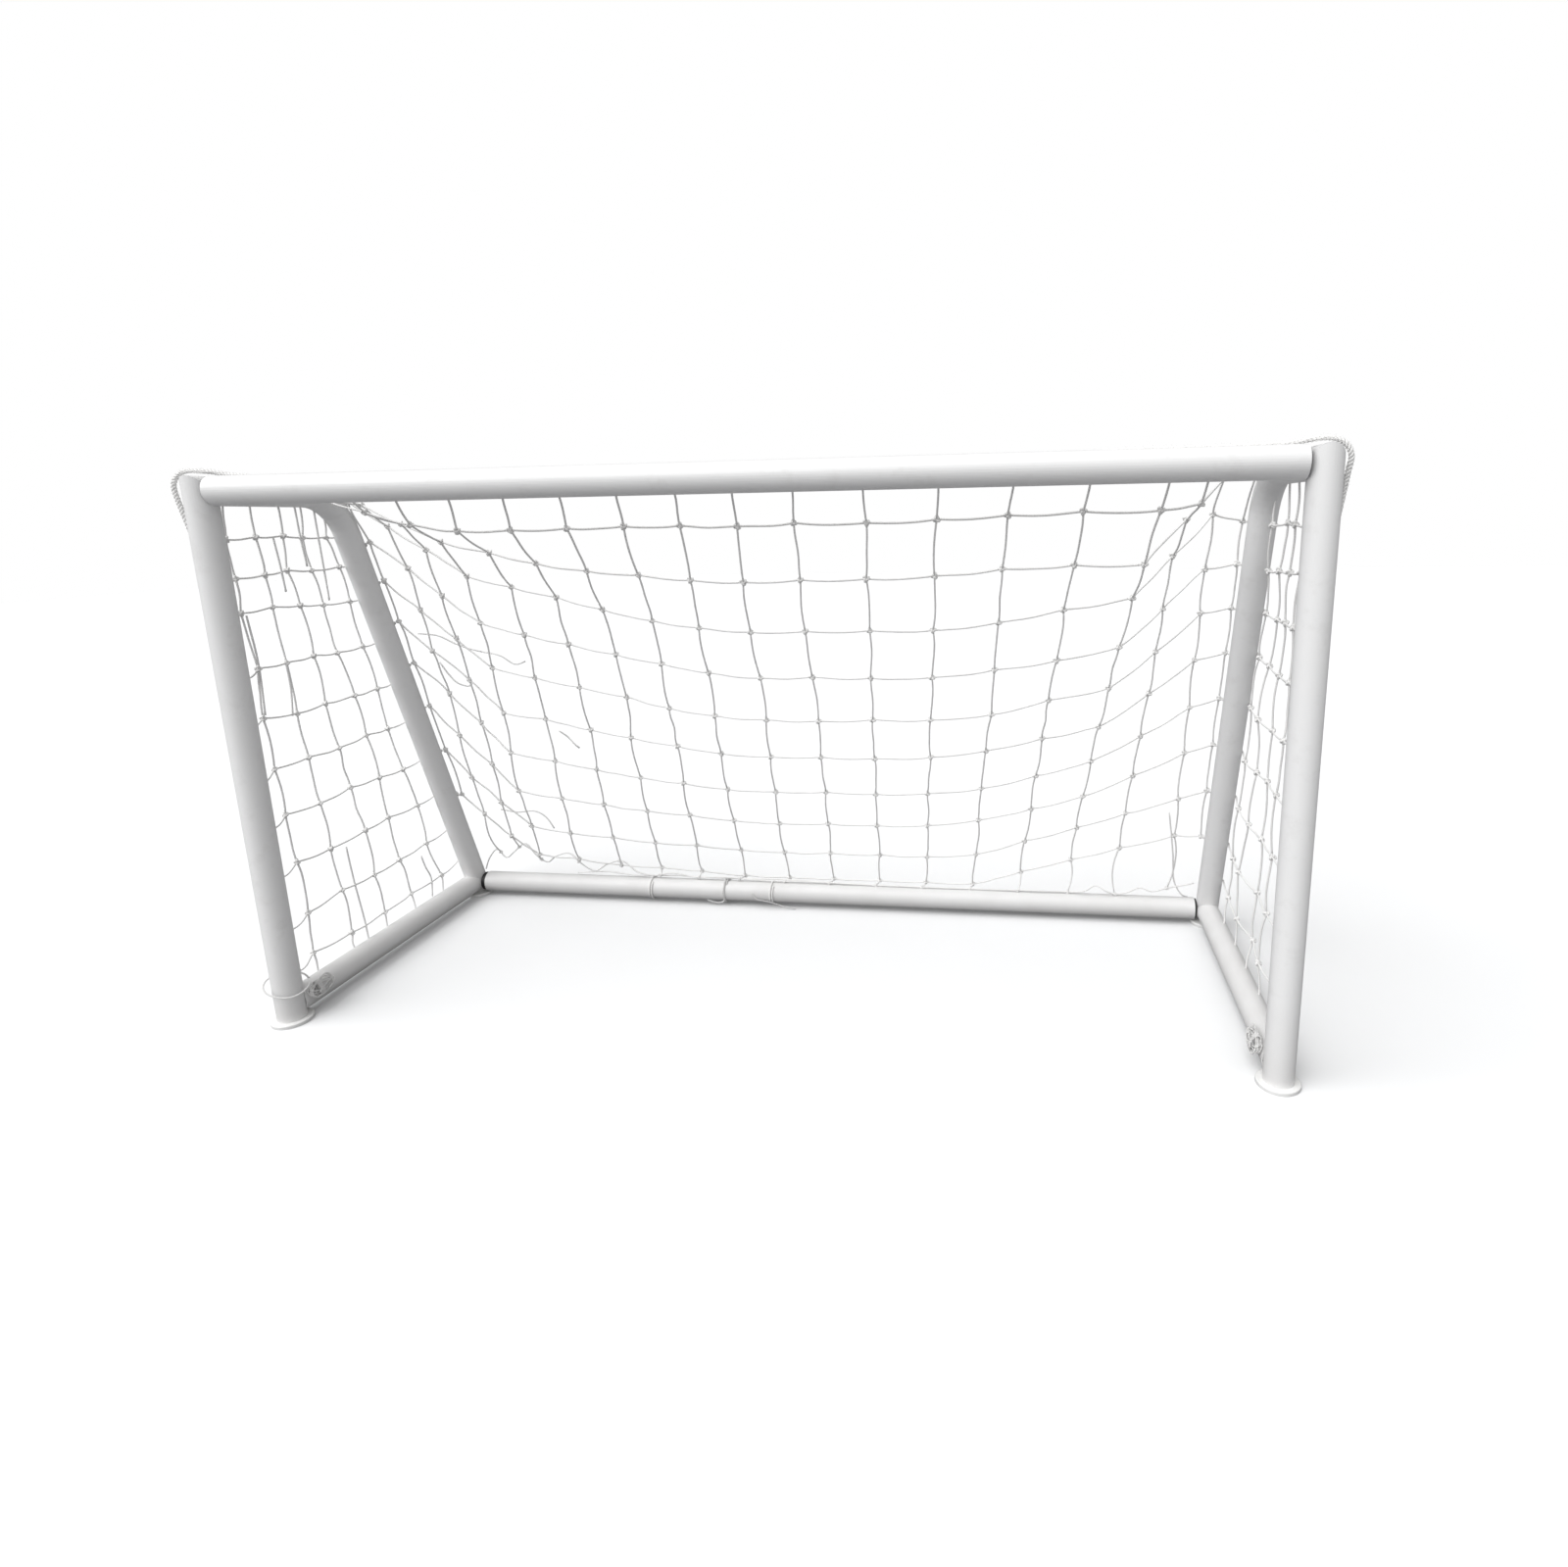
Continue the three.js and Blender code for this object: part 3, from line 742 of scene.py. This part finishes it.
# Shares of the mesh down a column: the first and last meshes are cut short by their ties.
FIRST_MESH, MIDDLE_MESH, LAST_MESH = 0.85, 0.95, 0.9


def falling_heights(first, gap, last_gap, count):
    """Heights that fall from the first by gaps that change evenly from one width to another."""
    return first - np.concatenate([[0], np.cumsum(np.linspace(gap, last_gap, count - 1))])


# Heights at which the rows meet the stays. The rows above them are tied to the roof tubes, at
# places along the tubes from the crossbar.
ROOF_TIES = (0.120, 0.235)
LEFT_ROWS = falling_heights(0.985, 0.075, 0.125, 8)
RIGHT_ROWS = falling_heights(0.922, 0.080, 0.120, 8)


def gap_shares(gaps):
    """The gaps' shares one by one."""
    shares, counts = zip(*gaps)
    return np.repeat(shares, counts)


def column_spots(shares, half_width):
    """Places of the columns across the goal, their gaps in these shares, post to post."""
    run = np.concatenate([[0], np.cumsum(shares)])
    return (2 * run / run[-1] - 1) * half_width


# The net's edge stands this far inside the side tubes' axes, and its bottom row this far behind
# and above the rear bar's axis. The bottom row's middle columns are tied to the bar.
NET_INSET = 0.030
HEM_BEHIND, HEM_ABOVE = 0.026, 0.030
TIED_TO_BAR = slice(8, 14)


def main_net_knots(sizes):
    """The main net's knots, rows by columns: tied along the border rope, the roof tubes, the
    stays and the middle of the rear bar, and hanging free between. The columns keep the spots
    that they were tied at, so that a knot only moves in depth and height."""
    start_bow, wander = 0.02, 0.0018
    row = np.arange(ROWS)[:, None]
    upper_gaps, lower_gaps = gap_shares(UPPER_GAPS), gap_shares(LOWER_GAPS)
    upper, lower = (column_spots(gaps, POST_X - NET_INSET) for gaps in (upper_gaps, lower_gaps))
    spots = upper + (lower - upper) * row / (ROWS - 1)
    across = np.maximum(np.diff(upper), np.diff(lower))
    down_shares = np.full(ROWS - 1, MIDDLE_MESH)
    down_shares[0], down_shares[-1] = FIRST_MESH, LAST_MESH
    down = sizes.mesh * down_shares

    rope = smooth_path(from_mouth(BORDER_ROPE)[ALONG_CROSSBAR], 0.02)
    top = np.stack([np.interp(spots[0], rope[:, 0], rope[:, axis]) for axis in range(3)], axis=1)
    hem = np.stack([spots[-1], np.full(COLUMNS, REAR_Y + HEM_BEHIND),
                    np.full(COLUMNS, REAR_Z + HEM_ABOVE)], axis=1)
    knots = top + (hem - top) * (row / (ROWS - 1))[..., None]
    knots[1:, 1:-1, 0] = spots[1:, 1:-1]
    free = np.ones(knots.shape)
    free[..., 0] = 0
    free[0] = free[:, 0] = free[:, -1] = 0
    outward = TUBE_RADIUS * 0.75
    for sign, heights, edge in ((-1, LEFT_ROWS, 0), (1, RIGHT_ROWS, -1)):
        places = np.concatenate([ROOF_TIES, stay_run(heights)])
        knots[1:, edge] = beside_stay(places, outward, -NET_INSET, sign)
    knots[-1, TIED_TO_BAR] = hem[TIED_TO_BAR]
    free[-1, TIED_TO_BAR] = 0
    share_across = np.arange(COLUMNS) / (COLUMNS - 1)
    knots[..., 1] += start_bow * free[..., 1] * np.sin(share_across * math.pi)
    hang(knots, free, across, down)
    random = np.random.default_rng(SEED)
    loose = free.max(axis=-1, keepdims=True)
    return knots + loose * random.normal(scale=wander, size=knots.shape)


def strands_between(starts, ends, reach, seed):
    """Twine between pairs of knots. Where the knots are closer than the twine is long, it sags
    as a parabola whose depth is the root of 3/8 * gap * spare, downwards and a little to the
    rear, and all of it wanders a little: a slow sine across the strand, nought at both ends."""
    rings, wander = 9, 0.0005
    random = np.random.default_rng(seed)
    t = np.linspace(0, 1, rings)[None, :, None]
    gap = np.linalg.norm(ends - starts, axis=1)
    spare = np.maximum(reach - gap, 0)
    sag = np.sqrt(3 / 8 * gap * spare)[:, None, None]
    line = starts[:, None] + (ends - starts)[:, None] * t
    along = unit(ends - starts)
    fall = np.array([0, 0.35, -1.0])
    fall = unit(fall - along * np.sum(fall * along, axis=1, keepdims=True))[:, None]
    upright = np.abs(along[:, 2])[:, None, None]
    side = unit(np.cross(along, np.array([0, 1.0, 0.01])))[:, None]
    lean = random.uniform(-1, 1, (len(starts), 1, 1))
    away = unit(fall * (1 - 0.7 * upright) + side * lean * (0.25 + upright))
    bow = 4 * t * (1 - t)
    wave = random.normal(size=(2, len(starts), 1, 1)) * wander
    other = unit(np.cross(away, along[:, None]))
    swing = wave[0] * np.sin(2 * math.pi * t) * away + wave[1] * np.sin(3 * math.pi * t) * other
    return line + away * sag * bow + swing


def knot_lumps(places, width, seed):
    """A small tied knot at each place: a tube along a trefoil, x = sin t + 2 sin 2t,
    y = cos t - 2 cos 2t, z = -1.2 sin 3t, turned at random and scaled to the knot's width."""
    random = np.random.default_rng(seed)
    rings, sides, thickness, ring_length = 15, 5, 0.16, 0.25
    t = np.arange(rings) * 2 * math.pi / rings
    shape = np.stack([np.sin(t) + 2 * np.sin(2 * t), np.cos(t) - 2 * np.cos(2 * t),
                      -1.2 * np.sin(3 * t)], axis=1) / 6
    turn = random.uniform(-math.pi, math.pi, len(places))
    size = width * random.uniform(0.62, 0.74, len(places))
    c, s = np.cos(turn), np.sin(turn)
    spin = np.zeros((len(places), 3, 3))
    spin[:, 0, 0], spin[:, 0, 2], spin[:, 2, 0], spin[:, 2, 2] = c, -s, s, c
    spin[:, 1, 1] = 1
    turned = np.einsum("kij,nj->kni", spin, shape[:, (0, 2, 1)]) * size[:, None, None]
    paths = places[:, None] + turned
    tangent = unit(np.roll(paths, -1, axis=1) - np.roll(paths, 1, axis=1))
    outward = paths - places[:, None]
    normal = unit(outward - tangent * np.sum(outward * tangent, axis=2, keepdims=True))
    binormal = np.cross(tangent, normal)
    angle = np.arange(sides) * 2 * math.pi / sides
    radius = width * thickness
    vertices = paths[:, :, None] + radius * (
        normal[:, :, None] * np.cos(angle)[:, None] + binormal[:, :, None] * np.sin(angle)[:, None])
    first = np.arange(len(places) * rings * sides).reshape(len(places), rings, sides)
    ahead = np.roll(first, -1, axis=1)
    quads = np.stack([first, np.roll(first, -1, axis=2), np.roll(ahead, -1, axis=2), ahead],
                     axis=-1).reshape(-1, 4)
    u = (np.arange(rings)[None, :, None, None] * width * ring_length
         + np.array([0, 0, 1, 1]) * width * ring_length)
    v = (np.arange(sides)[None, None, :, None] + np.array([0, 1, 1, 0])) / sides
    uv = np.stack(np.broadcast_arrays(u, v), axis=-1)
    uv = np.broadcast_to(uv, (len(places), rings, sides, 4, 2)).reshape(-1, 4, 2)
    return vertices.reshape(-1, 3), [(quads, uv)]


# A direction that no twine runs along, and the number of sides of a twine.
OFF_AXIS = np.array([0.31, 0.9, 0.17])
TWINE_SIDES = 6


def twine_parts(starts, ends, reach, sizes, seed):
    """Twine tubes between pairs of points, each as long as its reach."""
    paths = strands_between(starts, ends, reach, seed)
    along = unit(ends - starts)
    reference = unit(np.cross(along, OFF_AXIS))[:, None]
    return tubes(paths, reference, sizes.twine_diameter / 2, TWINE_SIDES)


def between_rows(knots):
    """Starts and ends of the twine along every row but the top one and down every column."""
    pairs = [(knots[1:, :-1], knots[1:, 1:]), (knots[:-1], knots[1:])]
    return [np.concatenate([side.reshape(-1, 3) for side in sides]) for sides in zip(*pairs)]


def twine_along(points, sizes):
    """One loose twine along a smooth curve through points given from the mouth."""
    path = smooth_path(from_mouth(points), 0.009, steps=8)
    along = unit(path[-1] - path[0])
    reference = unit(np.cross(along, OFF_AXIS))
    return tubes(path[None], reference, sizes.twine_diameter / 2, TWINE_SIDES)


# Loose twine of the main net, in millimetres from the mouth: the net's bottom border from the
# left rear corner along the bar's top to the right one, broken ends and small ties round the bar.
HEM_BORDER = [
    (-892, 606, 70), (-872, 596, 104), (-850, 600, 128), (-826, 598, 106), (-800, 594, 124),
    (-770, 600, 146), (-742, 596, 118), (-716, 602, 96), (-686, 596, 116), (-652, 602, 122),
    (-620, 598, 96), (-588, 604, 76), (-550, 600, 98), (-512, 606, 104), (-474, 602, 78),
    (-430, 608, 68), (-380, 604, 78), (-320, 610, 66), (-240, 607, 70), (-140, 609, 64),
    (-20, 608, 66), (120, 609, 63), (260, 608, 63), (400, 609, 63), (520, 607, 65),
    (600, 610, 64), (640, 602, 70), (668, 606, 84), (694, 600, 72), (716, 608, 64),
    (742, 602, 72), (770, 604, 84), (798, 602, 76), (830, 606, 84), (862, 604, 92),
    (892, 608, 98),
]
SECOND_BORDER = [
    (-640, 612, 66), (-560, 616, 70), (-480, 612, 64), (-380, 616, 66), (-260, 613, 65),
    (-120, 616, 66), (0, 614, 64), (60, 610, 63),
]
# Places across the goal of the two small ties round the bar.
BAR_TIES = (-0.438, -0.124)
BROKEN_ENDS = [
    [(-838, 452, 640), (-822, 455, 612), (-800, 452, 592), (-778, 456, 584), (-764, 450, 590)],
    [(-852, 410, 712), (-812, 420, 706), (-776, 424, 688), (-742, 424, 676), (-716, 430, 668)],
    [(-716, 430, 668), (-672, 428, 660), (-640, 430, 640), (-616, 434, 646)],
    [(-590, 500, 470), (-575, 512, 452), (-560, 510, 436), (-552, 518, 424)],
    [(-800, 560, 250), (-760, 566, 242), (-716, 566, 246), (-690, 572, 230), (-668, 570, 200)],
    [(822, 560, 286), (838, 585, 180), (846, 606, 108), (866, 618, 66), (884, 634, 52)],
]


class GOAL_OT_main_net(bpy.types.Operator):
    """Hangs the knotted net from the crossbar over the roof tubes and stays to the rear bar"""

    bl_idname = "goal.main_net"
    bl_label = "Main net"

    def execute(self, context):
        sizes = context.scene.goal_sizes
        colours = context.scene.goal_colours
        knots = main_net_knots(sizes)
        starts, ends = between_rows(knots)
        slack = 1.002
        reach = np.linalg.norm(ends - starts, axis=1) * slack
        parts = [twine_parts(starts, ends, reach, sizes, SEED),
                 knot_lumps(knots[1:].reshape(-1, 3), sizes.knot_width, SEED)]

        parts += self.hem_parts(knots[-1, 1:-1], sizes)
        loose = [HEM_BORDER, SECOND_BORDER, *BROKEN_ENDS]
        parts += [twine_along(points, sizes) for points in loose]
        parts += [self.bar_tie(x, sizes) for x in BAR_TIES]
        finish = fibre_material("net_twine_fibre", colours.twine, yarn=0.0045, turns=1.0,
                                soiling=0.2)
        piece = put_mesh("main_net_twine", *join_parts(parts), finish)
        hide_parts("main_net")
        return {"FINISHED"}

    def hem_parts(self, low, sizes):
        """Knots on the bottom border, and the twine that ties the bottom row down to them."""
        step_aside, touching, slack, seed = 0.006, 0.008, 1.02, SEED + 7
        knot_width = sizes.knot_width * 0.8
        hem = smooth_path(from_mouth(HEM_BORDER), 0.006)
        feet = np.stack([np.interp(low[:, 0] - step_aside, hem[:, 0], hem[:, axis])
                         for axis in range(3)], axis=1)
        gap = np.linalg.norm(feet - low, axis=1)
        hanging = gap > touching
        return [twine_parts(low[hanging], feet[hanging], gap[hanging] * slack, sizes, seed),
                knot_lumps(feet, knot_width, seed)]

    def bar_tie(self, place, sizes):
        """A turn and a quarter of twine round the rear bar."""
        turn = np.linspace(-0.1, 1.15, 28)
        angle = 2 * math.pi * turn
        reach = TUBE_RADIUS + sizes.twine_diameter * 0.55
        path = np.stack([place + 0.006 * turn, REAR_Y - reach * np.cos(angle),
                         REAR_Z + reach * np.sin(angle)], axis=1)
        along_bar = np.array([1.0, 0, 0.02])
        return tubes(path[None], along_bar, sizes.twine_diameter / 2, TWINE_SIDES)


# The side nets: heights of the rows from the roof tube to the ground bar, and how the columns
# fan out from the top row to the bottom one, in depth behind the posts.
SIDE_ROWS = {
    -1: np.concatenate([(1.030, 0.932, 0.865), 0.795 - 0.100 * np.arange(8), [0.046]]),
    1: np.concatenate([[1.030], RIGHT_ROWS, (0.120, 0.046)]),
}
SIDE_UPPER = np.linspace(0.055, 0.285, 5)
SIDE_LOWER = np.linspace(0.090, 0.490, 5)
# Loose and doubled twine in a plane just outside the left post's axis, as (depth, height).
STRAY_OUTSIDE = 0.011
SIDE_STRAYS = [
    [(212, 1013), (216, 930), (222, 872)], [(260, 1006), (262, 930), (266, 800)],
    [(150, 932), (156, 880), (160, 826)], [(209, 280), (216, 200), (228, 106), (232, 50)],
    [(479, 383), (510, 280), (546, 172)], [(132, 700), (134, 640), (128, 585)],
    [(62, 790), (70, 700), (66, 600)], [(430, 172), (440, 140), (454, 106), (450, 60)],
]


def side_net_knots(sign):
    """A side net's knots, rows by columns, in a plane just outside the post's axis. The columns
    fan out downwards and stop short of the stay, and the top row lies on the roof tube."""
    outside, stay_gap, bunching, wander = 0.013, 0.020, 0.05, 0.0035
    heights = SIDE_ROWS[sign]
    fall = np.clip((heights[1] - heights[:, None]) / (heights[1] - heights[-2]), 0, 1)
    depth = SIDE_UPPER + (SIDE_LOWER - SIDE_UPPER) * fall
    stay, _ = side_path()
    limit = np.interp(-heights, -stay[1:, 1], stay[1:, 0]) - stay_gap
    limit[0] = np.inf
    depth = np.minimum(depth, limit[:, None] - np.linspace(bunching, 0, depth.shape[1]))
    random = np.random.default_rng(SEED + sign)
    knots = np.stack([np.full(depth.shape, sign * (POST_X + outside)), MOUTH_Y + depth,
                      np.broadcast_to(heights[:, None], depth.shape)], axis=-1)
    knots[0, :, 2] = np.interp(depth[0], stay[:, 0], stay[:, 1])
    knots[1:-1] += random.normal(scale=wander, size=knots[1:-1].shape)
    return knots


def stay_wraps(sign, places, main_heights, sizes):
    """Twine that carries each row from the outside of the stay round its back to the main net,
    a little under half a turn about the stay's axis, which it climbs or falls along evenly."""
    half_turn_share = 0.86
    count = min(len(main_heights), len(places))
    turn = np.linspace(0, 1, 14)
    swept = math.pi * half_turn_share * turn
    climb = stay_run(main_heights[:count]) - places[:count]
    round_places = places[:count, None] + climb[:, None] * turn
    grip = TUBE_RADIUS + sizes.twine_diameter * 0.55
    wraps = beside_stay(round_places, grip * np.sin(swept), grip * np.cos(swept), sign)
    reference = unit(wraps[:, -1:] - wraps[:, :1]) + 0.01
    return tubes(wraps, reference, sizes.twine_diameter / 2, TWINE_SIDES)


def side_net_parts(sign, main_heights, sizes):
    """A side net: a fan of columns between the post and the stay, each row tied behind the post
    at the front and carried round the outside of the stay to the main net at the rear."""
    slack, hook_slack, stay_slack = 1.003, 1.10, 1.004
    hook_outside, hook_behind, hook_drop = 0.022, 0.027, 0.016
    knots = side_net_knots(sign)
    rows = knots[1:-1]
    starts, ends = [rows[:, :-1], knots[:-1]], [rows[:, 1:], knots[1:]]
    reach = [np.linalg.norm(b - a, axis=-1).ravel() * slack for a, b in zip(starts, ends)]

    hooks = np.stack([np.full(len(rows), sign * (POST_X + hook_outside)),
                      np.full(len(rows), MOUTH_Y + hook_behind),
                      rows[:, 0, 2] - hook_drop], axis=1)
    starts.append(hooks)
    ends.append(rows[:, 0])
    reach.append(np.linalg.norm(rows[:, 0] - hooks, axis=1) * hook_slack)
    places = stay_run(rows[:, -1, 2])
    outer = beside_stay(places, 0.0, TUBE_RADIUS + sizes.twine_diameter * 0.6, sign)
    starts.append(rows[:, -1])
    ends.append(outer)
    reach.append(np.linalg.norm(outer - rows[:, -1], axis=1) * stay_slack)
    starts, ends = (np.concatenate([side.reshape(-1, 3) for side in sides])
                    for sides in (starts, ends))
    return [twine_parts(starts, ends, np.concatenate(reach), sizes, SEED + 5),
            knot_lumps(rows.reshape(-1, 3), sizes.knot_width, SEED + 5),
            stay_wraps(sign, places, main_heights, sizes)]


class GOAL_OT_side_nets(bpy.types.Operator):
    """Hangs the two side nets between the posts and the stays"""

    bl_idname = "goal.side_nets"
    bl_label = "Side nets"

    def execute(self, context):
        sizes = context.scene.goal_sizes
        finish = bpy.data.materials["net_twine_fibre"]
        for sign, name, heights in ((-1, "left", LEFT_ROWS), (1, "right", RIGHT_ROWS)):
            parts = side_net_parts(sign, heights, sizes)
            if sign < 0:
                plane = -(POST_X + STRAY_OUTSIDE) / MILLIMETRE
                parts += [twine_along([(plane, *spot) for spot in stray], sizes)
                          for stray in SIDE_STRAYS]
            piece = put_mesh(f"{name}_side_net_twine", *join_parts(parts), finish)
            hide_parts(f"{name}_side_net")
        return {"FINISHED"}


# ---------------------------------------------------------------------------------------------
# Frame finishes and studio
# ---------------------------------------------------------------------------------------------

class GOAL_OT_frame_finish(bpy.types.Operator):
    """Paints the tubes and gives the feet and spigots their plastics"""

    bl_idname = "goal.frame_finish"
    bl_label = "Frame finish"

    def execute(self, context):
        colours = context.scene.goal_colours
        finishes = {
            "foot": foot_material(colours),
            "spigot": spigot_material(colours),
            "": paint_material(colours),
        }
        soft = ("net", "rope", "tie", "loose")
        for name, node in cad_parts.items():
            if any(word in name for word in soft):
                continue
            word = next(word for word in finishes if word in name)
            node.data.materials.clear()
            node.data.materials.append(finishes[word])
        return {"FINISHED"}


def floor_material(colours):
    """Pale seamless floor. Seen directly it is near white, and it throws back less light than
    that onto the goal, as a floor in a large dark room does."""
    material, shader, add, link = new_material("pale_floor")
    place = add("ShaderNodeTexCoord").outputs["Object"]
    tint = spread(add, noise(add, place, 3.0), 0.3, 0.7, 0.0, 0.3)
    link(mix_colours(add, tint, colours.floor, tuple(0.98 * c for c in colours.floor)),
         "Base Color")
    shader.inputs["Roughness"].default_value = 1.0
    shader.inputs["Specular IOR Level"].default_value = 0.0
    dim = add("ShaderNodeBsdfDiffuse", {"Color": (0.24, 0.24, 0.245, 1)})
    seen = add("ShaderNodeLightPath").outputs["Is Camera Ray"]
    mixed = add("ShaderNodeMixShader", {0: seen, 1: dim.outputs["BSDF"],
                                        2: shader.outputs["BSDF"]})
    surface = material.node_tree.nodes["Material Output"].inputs["Surface"]
    material.node_tree.links.new(mixed.outputs["Shader"], surface)
    return material


def studio_world():
    """A white backdrop whose light falls off from the front of the goal to the back."""
    world = bpy.data.worlds.new("studio_world")
    world.use_nodes = True
    tree = world.node_tree
    backdrop = tree.nodes["Background"]
    backdrop.inputs["Color"].default_value = (1, 1, 1, 1)
    direction = tree.nodes.new("ShaderNodeTexCoord").outputs["Generated"]
    split = tree.nodes.new("ShaderNodeSeparateXYZ")
    tree.links.new(direction, split.inputs["Vector"])
    fall = tree.nodes.new("ShaderNodeMapRange")
    tree.links.new(split.outputs["Y"], fall.inputs["Value"])
    for name, value in (("From Min", -1.0), ("From Max", 1.0), ("To Min", 1.05), ("To Max", 0.25)):
        fall.inputs[name].default_value = value
    ambient = tree.nodes.new("ShaderNodeBackground")
    tree.links.new(fall.outputs["Result"], ambient.inputs["Strength"])
    seen = tree.nodes.new("ShaderNodeLightPath").outputs["Is Camera Ray"]
    mixed = tree.nodes.new("ShaderNodeMixShader")
    tree.links.new(seen, mixed.inputs[0])
    tree.links.new(ambient.outputs["Background"], mixed.inputs[1])
    tree.links.new(backdrop.outputs["Background"], mixed.inputs[2])
    tree.links.new(mixed.outputs["Shader"], tree.nodes["World Output"].inputs["Surface"])
    return world


class GOAL_OT_studio(bpy.types.Operator):
    """Adds the pale floor and the soft studio light"""

    bl_idname = "goal.studio"
    bl_label = "Studio"

    def execute(self, context):
        colours = context.scene.goal_colours
        half, drop = 14.0, -0.0004
        mesh = bpy.data.meshes.new("studio_floor")
        mesh.from_pydata([(-half, -half, drop), (half, -half, drop), (half, half, drop),
                          (-half, half, drop)], [], [(0, 1, 2, 3)])
        mesh.materials.append(floor_material(colours))
        floor = bpy.data.objects.new("studio_floor", mesh)
        context.scene.collection.objects.link(floor)
        floor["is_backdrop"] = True
        context.scene.world = studio_world()
        for name, direction, angle, strength in (
            ("key", (0.60, 0.58, -0.92), 60, 2.5),
            ("top", (-0.05, 0.10, -1.0), 85, 0.25),
        ):
            data = bpy.data.lights.new(name, "SUN")
            data.angle = math.radians(angle)
            data.energy = strength
            light = bpy.data.objects.new(name, data)
            light.rotation_euler = Vector(direction).to_track_quat("-Z", "Y").to_euler()
            context.scene.collection.objects.link(light)
        context.scene.view_settings.view_transform = "Standard"
        return {"FINISHED"}


class GOAL_PT_sidebar(bpy.types.Panel):
    """Lists the steps that dress the goal"""

    bl_idname = "GOAL_PT_sidebar"
    bl_label = "Small Soccer Goal"
    bl_space_type = "VIEW_3D"
    bl_region_type = "UI"
    bl_category = "Goal"

    def draw(self, context):
        layout = self.layout
        for group in (context.scene.goal_sizes, context.scene.goal_colours):
            for name in group.bl_rna.properties.keys():
                if name not in ("rna_type", "name"):
                    layout.prop(group, name)
        for operator in OPERATORS:
            layout.operator(operator.bl_idname)


OPERATORS = (
    GOAL_OT_camera,
    GOAL_OT_border_rope,
    GOAL_OT_foot_ties,
    GOAL_OT_rear_ties,
    GOAL_OT_main_net,
    GOAL_OT_side_nets,
    GOAL_OT_frame_finish,
    GOAL_OT_studio,
)
CLASSES = (GoalSizes, GoalColours, *OPERATORS, GOAL_PT_sidebar)


def register():
    for item in CLASSES:
        bpy.utils.register_class(item)
    bpy.types.Scene.goal_sizes = bpy.props.PointerProperty(type=GoalSizes)
    bpy.types.Scene.goal_colours = bpy.props.PointerProperty(type=GoalColours)


def unregister():
    del bpy.types.Scene.goal_colours
    del bpy.types.Scene.goal_sizes
    for item in reversed(CLASSES):
        bpy.utils.unregister_class(item)


def main():
    """Builds every piece in order."""
    register()
    bpy.ops.goal.camera()
    bpy.ops.goal.border_rope()
    bpy.ops.goal.foot_ties()
    bpy.ops.goal.rear_ties()
    bpy.ops.goal.main_net()
    bpy.ops.goal.side_nets()
    bpy.ops.goal.frame_finish()
    bpy.ops.goal.studio()
    boxes = {"cad": CAD_BOX, "visual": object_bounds()}
    boxes = {name: [[float(x) for x in corner] for corner in box] for name, box in boxes.items()}


if __name__ == "__main__":
    main()
